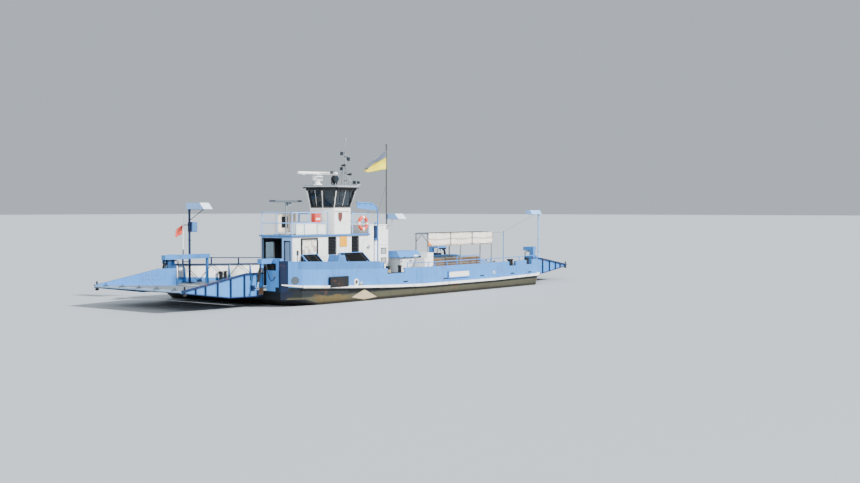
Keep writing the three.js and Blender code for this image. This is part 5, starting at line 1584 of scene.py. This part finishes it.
class FERRY_OT_gas_bottle(bpy.types.Operator):
    """Shouldered gas bottle with its collar, valve and straps"""

    bl_idname = "ferry.gas_bottle"
    bl_label = "Gas bottle"

    def execute(self, context):
        x, y = -1.42, -2.3
        s = Shape()
        verts = [s.bm.verts.new((x + r, y, z)) for r, z in BOTTLE]
        geom = verts + [s.bm.edges.new(pair) for pair in zip(verts, verts[1:])]
        bmesh.ops.spin(s.bm, geom=geom, cent=(x, y, 0), axis=UP, angle=math.tau, steps=40, use_merge=True)
        bmesh.ops.remove_doubles(s.bm, verts=list(s.bm.verts), dist=1e-5)
        for z in (2.75, 3.0):
            s.ring((x, y, z), UP, 0.14, 0.008, 40, 8, 1)
        s.ring((x, y, 3.285), UP, 0.085, 0.009, 32, 8)
        for a in range(3):
            px, py, _ = on_circle((x, y, 0), 0.085, math.tau * a / 3)
            s.post(px, py, 3.15, 3.285, 0.012, 8)
        s.post(x, y, 3.19, 3.25, 0.024, 14, mat=1)
        s.rod((x - 0.04, y, 3.235), (x + 0.04, y, 3.235), 0.013, 10, mat=1)
        s.slab((-1.5795, -1.42), (-2.34, -2.26), (2.9, 2.96), 0.004, 1)
        s.make("gas_bottle", "yellow steel", smooth=40, replaces=("gas_canister",))
        return {"FINISHED"}


def cloth_grid(name, columns, rows, place, f, flat):
    """A grid of cloth, its own map in metres, put in place by a function of u and v."""
    bm = bmesh.new()
    bmesh.ops.create_grid(bm, x_segments=columns, y_segments=rows, size=0.5)
    layer = bm.loops.layers.uv.new("UVMap")
    spots = {v: (v.co.x + 0.5, v.co.y + 0.5) for v in bm.verts}
    for face in bm.faces:
        face.smooth = True
        for loop in face.loops:
            loop[layer].uv = [part * size for part, size in zip(spots[loop.vert], flat)]
    for v in bm.verts:
        v.co = place(*spots[v])
    return mesh_object(name, bm, f)


def wind_field(at, towards, strength):
    field = added("wind", None)
    field.location = at
    field.rotation_euler = Vector(towards).to_track_quat("Z", "Y").to_euler()
    with bpy.context.temp_override(object=field, active_object=field, selected_objects=[field]):
        bpy.ops.object.forcefield_toggle()
    for name, value in {"type": "WIND", "strength": strength, "noise": 0.6, "seed": 7}.items():
        setattr(field.field, name, value)
    return field


def simulate(o, pinned, wind, frames, stiffness=15.0, gravity=1.0):
    """Lets the cloth hang or blow from its pinned points, and keeps the shape of the last frame."""
    scene = bpy.context.scene
    group = o.vertex_groups.new(name="held")
    group.add([v.index for v in o.data.vertices if pinned(v.co)], 1.0, "REPLACE")
    cloth = o.modifiers.new("hang", "CLOTH")
    s = cloth.settings
    s.quality = 6
    s.mass = 0.3
    s.tension_stiffness = s.compression_stiffness = s.shear_stiffness = stiffness
    s.bending_stiffness = 0.4
    s.air_damping = 1.0
    s.vertex_group_mass = "held"
    s.effector_weights.gravity = gravity
    cloth.collision_settings.use_self_collision = False
    cloth.point_cache.frame_start = 1
    cloth.point_cache.frame_end = frames
    field = wind_field(*wind)
    for number in range(1, frames + 1):
        scene.frame_set(number)
    shaped = bpy.data.meshes.new_from_object(o.evaluated_get(bpy.context.evaluated_depsgraph_get()))
    o.modifiers.remove(cloth)
    o.vertex_groups.clear()
    old, o.data = o.data, shaped
    bpy.data.meshes.remove(old)
    bpy.data.objects.remove(field)
    scene.frame_set(1)


def thicken(o, thickness):
    bm = bmesh.new()
    bm.from_mesh(o.data)
    bmesh.ops.recalc_face_normals(bm, faces=bm.faces)
    bmesh.ops.solidify(bm, geom=list(bm.faces), thickness=thickness)
    for face in bm.faces:
        face.smooth = True
    bm.to_mesh(o.data)
    bm.free()


SHELTER_X, SHELTER_Y, SHELTER_TOP, SKIRT = (0.6, 6.0), (-3.3, -2.5), 2.87, 2.25
TARPAULIN = (1.75, 0.62)
TARPAULIN_TOP = SKIRT + TARPAULIN[1]
COLUMNS, ROWS = 44, 18
# Cloth stays off the posts behind it and inside the part's own box in front.
CLOTH_Y, CLOTH_Z = (-3.40, -3.306), 2.872


def shelter_frame():
    """Ribs of the roof, gutters, rails, braces and feet."""
    (x0, x1), (y0, y1), top = SHELTER_X, SHELTER_Y, SHELTER_TOP
    s = Shape()
    for x in stepped(x0 + 0.1, x1 - 0.1, sizes().rib_step):
        s.rod((x, y0 + 0.02, top), (x, y1 - 0.02, top), 0.022, 6)
    s.make("shelter_roof_ribs", "black")
    s = Shape()
    s.rods(0.024, 10, *(((x0, y, top - 0.03), (x1, y, top - 0.03)) for y in (y0 + 0.005, y1 - 0.005)))
    s.rod((x0 + 0.03, y0 + 0.03, 2.26), (x1 - 0.03, y0 + 0.03, 2.26), 0.018, 8)
    for x in (x0 + 0.04, (x0 + x1) / 2, x1 - 0.04):
        for y, side in ((y0 + 0.04, 1), (y1 - 0.04, -1)):
            s.rod((x, y, 2.45), (x, y + side * 0.34, top - 0.05), 0.014, 8)
            s.slab(about(x, 0.07), about(y, 0.07), (0.6505, 0.664), 0.004)
    s.make("shelter_rails", "navy", slot="dark_metal")


def benches():
    """Slats of the bench, and the lid and doors of the deck box behind it."""
    x, y1 = (SHELTER_X[0] + 0.05, SHELTER_X[1] - 0.05), SHELTER_Y[1]
    s = Shape()
    for k in range(4):
        y = y1 - 0.49 + k * 0.11
        s.slab(x, (y, y + 0.085), (1.13, 1.15), 0.006)
    for k in range(3):
        z = 1.2 + k * 0.14
        s.slab(x, (y1 - 0.085, y1 - 0.062), (z, z + 0.1), 0.006)
    s.make("bench_slats", "wood")
    s = Shape()
    s.slab((2.72, 4.28), (-2.50, -1.67), (1.66, 1.71), 0.012)
    s.row((3.15, 3.85), 0.32, (-1.701, -1.688), (0.78, 1.60), 0.006)
    s.row((3.41, 3.59), 0.015, (-1.69, -1.665), (1.12, 1.26), 0.005, 1)
    s.make("deck_box_doors", "blue black")


def laces(i, left):
    """Ropes across the tarpaulin, hanging in shallow bows, with the eyelets along its edges."""
    wide = TARPAULIN[0]
    s = Shape()
    for level, sag in ((0.60, 0.05), (0.13, 0.035)):
        bows = [(t / 14, math.sin(math.pi * t / 14)) for t in range(15)]
        z = SKIRT + TARPAULIN[1] * level
        s.tube([(left + wide * u, -3.348 - 0.012 * bow, z - sag * bow) for u, bow in bows], 0.008, 6)
    for t in range(9):
        for z in (SKIRT + 0.03, TARPAULIN_TOP - 0.03):
            s.ring((left + 0.05 + t * (wide - 0.1) / 8, -3.326, z), ACROSS, 0.014, 0.004, 14, 6)
    for x in (left, left + wide):
        s.post(x, -3.325, SKIRT + 0.02, TARPAULIN_TOP, 0.007, 6)
    return s.make(f"tarpaulin_{i + 1}_lashing", "dark_line")


def tarpaulin(i):
    """A tarpaulin hangs from the roof's edge; ropes hold its lower edge and its middle sags."""
    left = SHELTER_X[0] + i * (SHELTER_X[1] - SHELTER_X[0]) / 3 + 0.025
    phase = random.uniform(0, 6)
    step = TARPAULIN[0] / COLUMNS

    def place(u, v):
        swell = math.sin(math.pi * u) * math.sin(math.pi * v)
        y = -3.318 - 0.022 * swell * math.sin(3.1 * math.pi * v + phase + 4 * u)
        sag = -0.035 * math.sin(math.pi * u) * (v - 0.5) if 0.1 < v < 0.9 else 0
        return (left + u * TARPAULIN[0], y, SKIRT + v * TARPAULIN[1] + sag)

    def pinned(co):
        """The upper edge, and the lower one at every eleventh column."""
        return co.z > TARPAULIN_TOP - 0.01 or (co.z < SKIRT + 0.012 and round((co.x - left) / step) % 11 == 0)

    canvas = finish("canvas_corner" if i == 0 else "canvas")
    o = cloth_grid(f"tarpaulin_{i + 1}", COLUMNS, ROWS, place, canvas, TARPAULIN)
    simulate(o, pinned, ((left, -5.0, 2.5), (0.15, 1.0, 0.0), 14.0), 24)
    for v in o.data.vertices:
        v.co.y = min(max(v.co.y, CLOTH_Y[0]), CLOTH_Y[1])
        v.co.z = min(v.co.z, CLOTH_Z)
    thicken(o, 0.003)
    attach(o, "hull")
    if i == 0:
        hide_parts("shelter_tarpaulins")
    laces(i, left)


class FERRY_OT_shelter(bpy.types.Operator):
    """Roof ribs, gutters, bench slats and lashed tarpaulins of the shelter"""

    bl_idname = "ferry.shelter"
    bl_label = "Shelter"

    def execute(self, context):
        shelter_frame()
        benches()
        random.seed(11)
        for i in range(3):
            tarpaulin(i)
        return {"FINISHED"}


# Flags: piece, finish, node, holder, slot, staff, top, size, grid, leeward, how it narrows, and its ripple.
FLAGS = (
    (
        *("flag_cloth", "flag", "flag", "flagstaff", "flag_cloth"),
        *((-1.5295, -2.48), 6.79, (1.5, 0.86), (32, 18), (-1.0, 0.12, -0.33), 0.78, 0.07),
    ),
    (
        *("small_flag_cloth", "red_cloth", "small_flag", "lamp_post_far_left", "red_cloth"),
        *((-8.527, 3.82), 3.34, (0.5, 0.42), (16, 12), (-1.0, 0.1, -0.5), 0.4, 0.04),
    ),
)


def flag(name, cloth, node, holder, slot, staff, top, flat, grid, lee, gather, ripple):
    """Starts as a sheet that leaves the staff to leeward and falls into folds, then blows for a moment."""
    lee = Vector(lee).normalized()
    side = Vector((-lee.y, lee.x, 0)).normalized()
    length, hoist = flat

    def place(u, v):
        narrow = 1 - gather * u
        p = Vector((*staff, top - hoist * (0.5 + (0.5 - v) * narrow)))
        p += lee * (u * length * 0.96)
        fold = hoist / (3 * math.pi) * math.sqrt(max(0.0, 1 - narrow * narrow)) * 1.6
        return p + side * (ripple * u * math.sin(2.6 * math.pi * u) + fold * math.sin(3 * math.pi * v + 0.8))

    def pinned(co):
        return abs(co.x - staff[0]) < 0.012

    o = cloth_grid(name, *grid, place, finish(cloth), flat)
    simulate(o, pinned, ((staff[0] + 3, staff[1], top), tuple(lee), 7.0), 16, 25.0, 0.08)
    thicken(o, 0.0015)
    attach(o, "hull")
    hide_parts(node)
    s = Shape()
    s.post(staff[0] + 0.004, staff[1], top - hoist, top, 0.008, 8)
    hem = s.make(f"{name}_hem", "white_plastic", slot="canvas")


class FERRY_OT_flags(bpy.types.Operator):
    """The two flags, blown out from their staffs, with hems, and the line they're hoisted on"""

    bl_idname = "ferry.flags"
    bl_label = "Flags"

    def execute(self, context):
        for each in FLAGS:
            flag(*each)
        s = Shape()
        for side in (-1, 1):
            s.rod((-1.5 + 0.02 * side, -2.515, 3.0), (-1.5 + 0.012 * side, -2.513, 6.99), 0.004, 6)
        s.slab((-1.53, -1.47), (-2.535, -2.505), (2.98, 3.02), 0.006)
        s.post(-1.5, -2.48, 7.02, 7.05, 0.045, 16, soft=0.005)
        s.make("flag_halyard", "rope")
        return {"FINISHED"}


# From a closed lid's own place to where it rests open.
LID_OPEN = Matrix.Translation((0, -3.22, 1.6503)) @ turn_by(-140, "X", 4)


def lid_lining(number, x0, x1):
    """A near-black lining that is painted shade, rim, handle and stiffeners of a lid, built as if it were
    closed.
    """
    s = Shape()
    rim = (0.002, 0.0125)
    s.slab((x0 + 0.05, x1 - 0.05), (-0.66, -0.05), (0.0, 0.0125), 0.004, 1)
    for y in ((-0.699, -0.665), (-0.047, -0.012)):
        s.slab((x0, x1), y, rim, 0.002)
    s.row((x0 + 0.0225, x1 - 0.0225), 0.0225, (-0.665, -0.047), rim, 0.002)
    s.slab((x0 + 0.35, x0 + 0.65), (-0.53, -0.515), (-0.03, 0.0), 0.005, 2)
    handle = ((0.3, 0.052), (0.3, 0.09), (0.5, 0.09), (0.5, 0.052))
    s.tube([(x0 + dx, -0.62, z) for dx, z in handle], 0.009, 8, 2)
    s.row((x0 + 0.25, x1 - 0.25), 0.02, (-0.64, -0.08), (-0.002, 0.004), 0.002, 2)
    s.move(LID_OPEN)
    s.make(f"lid_lining_{number}", "blue foam black", f"lid_{number}")


def vent_slats():
    s = Shape()
    for k in range(5):
        z = 1.70 + k * 0.06
        s.slab((-6.18, -5.92), (-3.852, -3.838), (z, z + 0.035), 0.004)
    s.rods(0.012, 8, *(((-6.21, y, 2.045), (-5.89, y, 2.045)) for y in (-3.84, -3.20)))
    s.row((-7.39, -6.40, -5.06, -3.27), 0.012, (-3.86, -3.838), (0.68, 1.64), 0.003)
    s.make("trunk_vent_slats", "box_blue")


def engine_top():
    """Rocker covers, manifold and pipes on the engine's block."""
    s = Shape()
    for k in range(6):
        x = -4.75 + k * 0.22
        s.slab(about(x, 0.09), (-3.62, -3.46), (0.90, 1.02), 0.02)
        s.tube([(x, -3.64, 0.93), (x, -3.70, 0.95), (x, -3.72, 0.85)], 0.022, 8, 1)
        s.bolts([(x, -3.54, 1.02)], UP, 0.014, 0.016, 1)
    s.rod((-4.85, -3.70, 0.84), (-3.5, -3.70, 0.84), 0.045, 14, mat=1)
    s.rod((-3.5, -3.70, 0.84), (-3.5, -3.45, 1.25), 0.05, 14, mat=1)
    s.rod((-4.8, -3.36, 0.92), (-3.6, -3.36, 0.92), 0.035, mat=1)
    s.slab((-4.0, -3.7), (-3.4, -3.29), (0.9, 1.15), 0.03)
    s.make("engine_top", "machine rusty")


class FERRY_OT_hatches(bpy.types.Operator):
    """Near-black linings of painted shade, rims and handles of the open lids, the vent's slats and the engine
    below
    """

    bl_idname = "ferry.hatches"
    bl_label = "Hatches and engine"

    def execute(self, context):
        lid_lining(1, -7.40, -6.42)
        lid_lining(2, -5.04, -3.42)
        vent_slats()
        engine_top()
        return {"FINISHED"}


class FERRY_OT_lockers(bpy.types.Operator):
    """Lids, hinges, latches and seams of the lockers between house and shelter"""

    bl_idname = "ferry.lockers"
    bl_label = "Lockers"

    def execute(self, context):
        s = Shape()
        left, right, near, far, top = -1.45, 0.35, -3.25, -2.0, 1.785
        s.rods(0.018, 8, *(((x, near, top), (x, far, top)) for x in (left, right)))
        s.rods(0.018, 8, *(((left, y, top), (right, y, top)) for y in (near, far)))
        s.make("locker_lid_rims", "blue")
        s = Shape()
        s.row((-0.9, -0.15), 0.35, (-3.165, -3.149), (0.75, 1.70), 0.008)
        s.make("locker_doors", "shade_white")
        s = Shape()
        s.row((-0.62, -0.43), 0.015, (-3.185, -3.163), (1.18, 1.30), 0.005)
        for z in (0.85, 1.55):
            s.row((-1.2, -0.6, -0.45, 0.15), 0.03, (-3.176, -3.164), (z, z + 0.07), 0.004)
        s.row((-1.1, 0.05), 0.05, (-3.268, -3.25), (1.76, 1.81), 0.005)
        s.make("locker_latches", "black")
        s = Shape()
        s.slabs(
            (-0.18, 0.06, -3.764, -3.749, 0.75, 1.62, 0.008),
            (-0.215, 0.078, -3.765, -3.142, 1.68, 1.715, 0.01),
            (0.12, 0.48, -3.714, -3.699, 0.75, 1.88, 0.008),
            (0.065, 0.535, -3.715, -3.285, 1.93, 1.965, 0.01),
            (0.018, 0.042, -3.782, -3.766, 1.2, 1.34, 0.004, 1),
            (0.438, 0.462, -3.732, -3.716, 1.2, 1.34, 0.004, 1),
        )
        s.make("cabinet_doors", "white black")
        return {"FINISHED"}


LINE_Z = (0.6485, 0.6525)


def deck_marks():
    s = Shape()
    for y in (-0.4, 1.75):
        s.row([-8.2 + i * 1.5 for i in range(12)], 0.4, about(y, 0.05), LINE_Z)
    s.row((-9.3, 9.3), 0.09, (-2.6, 3.2), LINE_Z)
    s.make("deck_lines", "lane")
    s = Shape()
    for x in (-8.6, -6.4, -4.2, -2.0, 0.2, 2.4, 4.6, 6.8, 8.6):
        for y in (0.2, 1.3, 2.7, 3.7):
            s.slab(about(x, 0.09), about(y, 0.06), (0.649, 0.662), 0.003)
            s.ring((x, y, 0.664), UP, 0.045, 0.01, 18, 6)
    for x, y in ((-1.0, 0.9), (5.6, -0.6), (8.3, 1.9), (-8.7, 1.9)):
        s.post(x, y, 0.649, 0.668, 0.3, 36, soft=0.003)
        s.bolts([on_circle((x, y, 0.667), 0.26, a * 0.785) for a in range(8)], UP, 0.014, 0.01)
    s.make("deck_eyes_and_manholes", "steel")


def stays():
    """Taut wires between the tall post, the shelter and the casing, and the collars of two posts."""
    s = Shape()
    for p, q in (
        ((5.85, -4.09, 2.85), (5.95, -3.28, 2.84)),
        ((5.85, -4.09, 2.88), (9.35, -3.95, 3.86)),
        ((-2.5, -2.8, 3.9), (-1.53, -2.5, 5.2)),
    ):
        s.rod(p, q, 0.005, 6)
        for end in (p, q):
            s.ball(end, 0.014, 8, 6)
    s.make("stay_wires", "dark_line")
    s = Shape()
    for x, y, tall, radius in ((5.85, -4.09, 2.9, 0.035), (9.35, -3.95, 3.92, 0.055)):
        for z in (1.75, 2.4, tall - 0.2):
            s.post(x, y, z, z + 0.03, radius)
    s.make("post_collars", "grey")


class FERRY_OT_deck(bpy.types.Operator):
    """Lane lines, lashing eyes and manholes of the open deck, and the stays over it"""

    bl_idname = "ferry.deck"
    bl_label = "Deck fittings"

    def execute(self, context):
        deck_marks()
        stays()
        return {"FINISHED"}


class FERRY_OT_thrusters(bpy.types.Operator):
    """Anodes and seals of the steerable thrusters below the water"""

    bl_idname = "ferry.thrusters"
    bl_label = "Thrusters"

    def execute(self, context):
        for end, name in ENDS:
            x, y = end * 7.9, end * 1.5
            s = Shape()
            for z in (-0.66, -0.72):
                s.ring((x, y, z), UP, 0.155, 0.018, 32, 8)
            for dy in (-0.2, 0.2):
                s.slab(about(x, 0.09), about(y + dy, 0.02), (-0.95, -0.86), 0.01, 1)
            s.make(f"thruster_seals_{name}", "rusty steel", f"leg_{name}")
        return {"FINISHED"}


OPERATORS = (
    FERRY_OT_stage,
    FERRY_OT_frame_paint,
    FERRY_OT_side_fittings,
    FERRY_OT_far_side,
    FERRY_OT_ramps,
    FERRY_OT_hydraulics,
    FERRY_OT_house,
    FERRY_OT_wheelhouse,
    FERRY_OT_roof_gear,
    FERRY_OT_lamp_posts,
    FERRY_OT_upper_deck,
    FERRY_OT_gas_bottle,
    FERRY_OT_shelter,
    FERRY_OT_flags,
    FERRY_OT_hatches,
    FERRY_OT_lockers,
    FERRY_OT_deck,
    FERRY_OT_thrusters,
)


class FERRY_PT_panel(bpy.types.Panel):
    bl_idname = "FERRY_PT_panel"
    bl_label = "Passenger ferry"
    bl_space_type = "VIEW_3D"
    bl_region_type = "UI"
    bl_category = "Ferry"

    def draw(self, context):
        for group in (colours(), sizes()):
            box = self.layout.box()
            for name in type(group).__annotations__:
                box.prop(group, name)
        for each in OPERATORS:
            self.layout.operator(each.bl_idname)


CLASSES = (FerryColours, FerrySizes, *OPERATORS, FERRY_PT_panel)


def register():
    for each in CLASSES:
        bpy.utils.register_class(each)
    bpy.types.Scene.ferry_colours = PointerProperty(type=FerryColours)
    bpy.types.Scene.ferry_sizes = PointerProperty(type=FerrySizes)


def unregister():
    del bpy.types.Scene.ferry_colours
    del bpy.types.Scene.ferry_sizes
    for each in reversed(CLASSES):
        bpy.utils.unregister_class(each)


def main():
    register()
    for each in OPERATORS:
        getattr(bpy.ops.ferry, each.bl_idname.split(".")[1])()


if __name__ == "__main__":
    main()
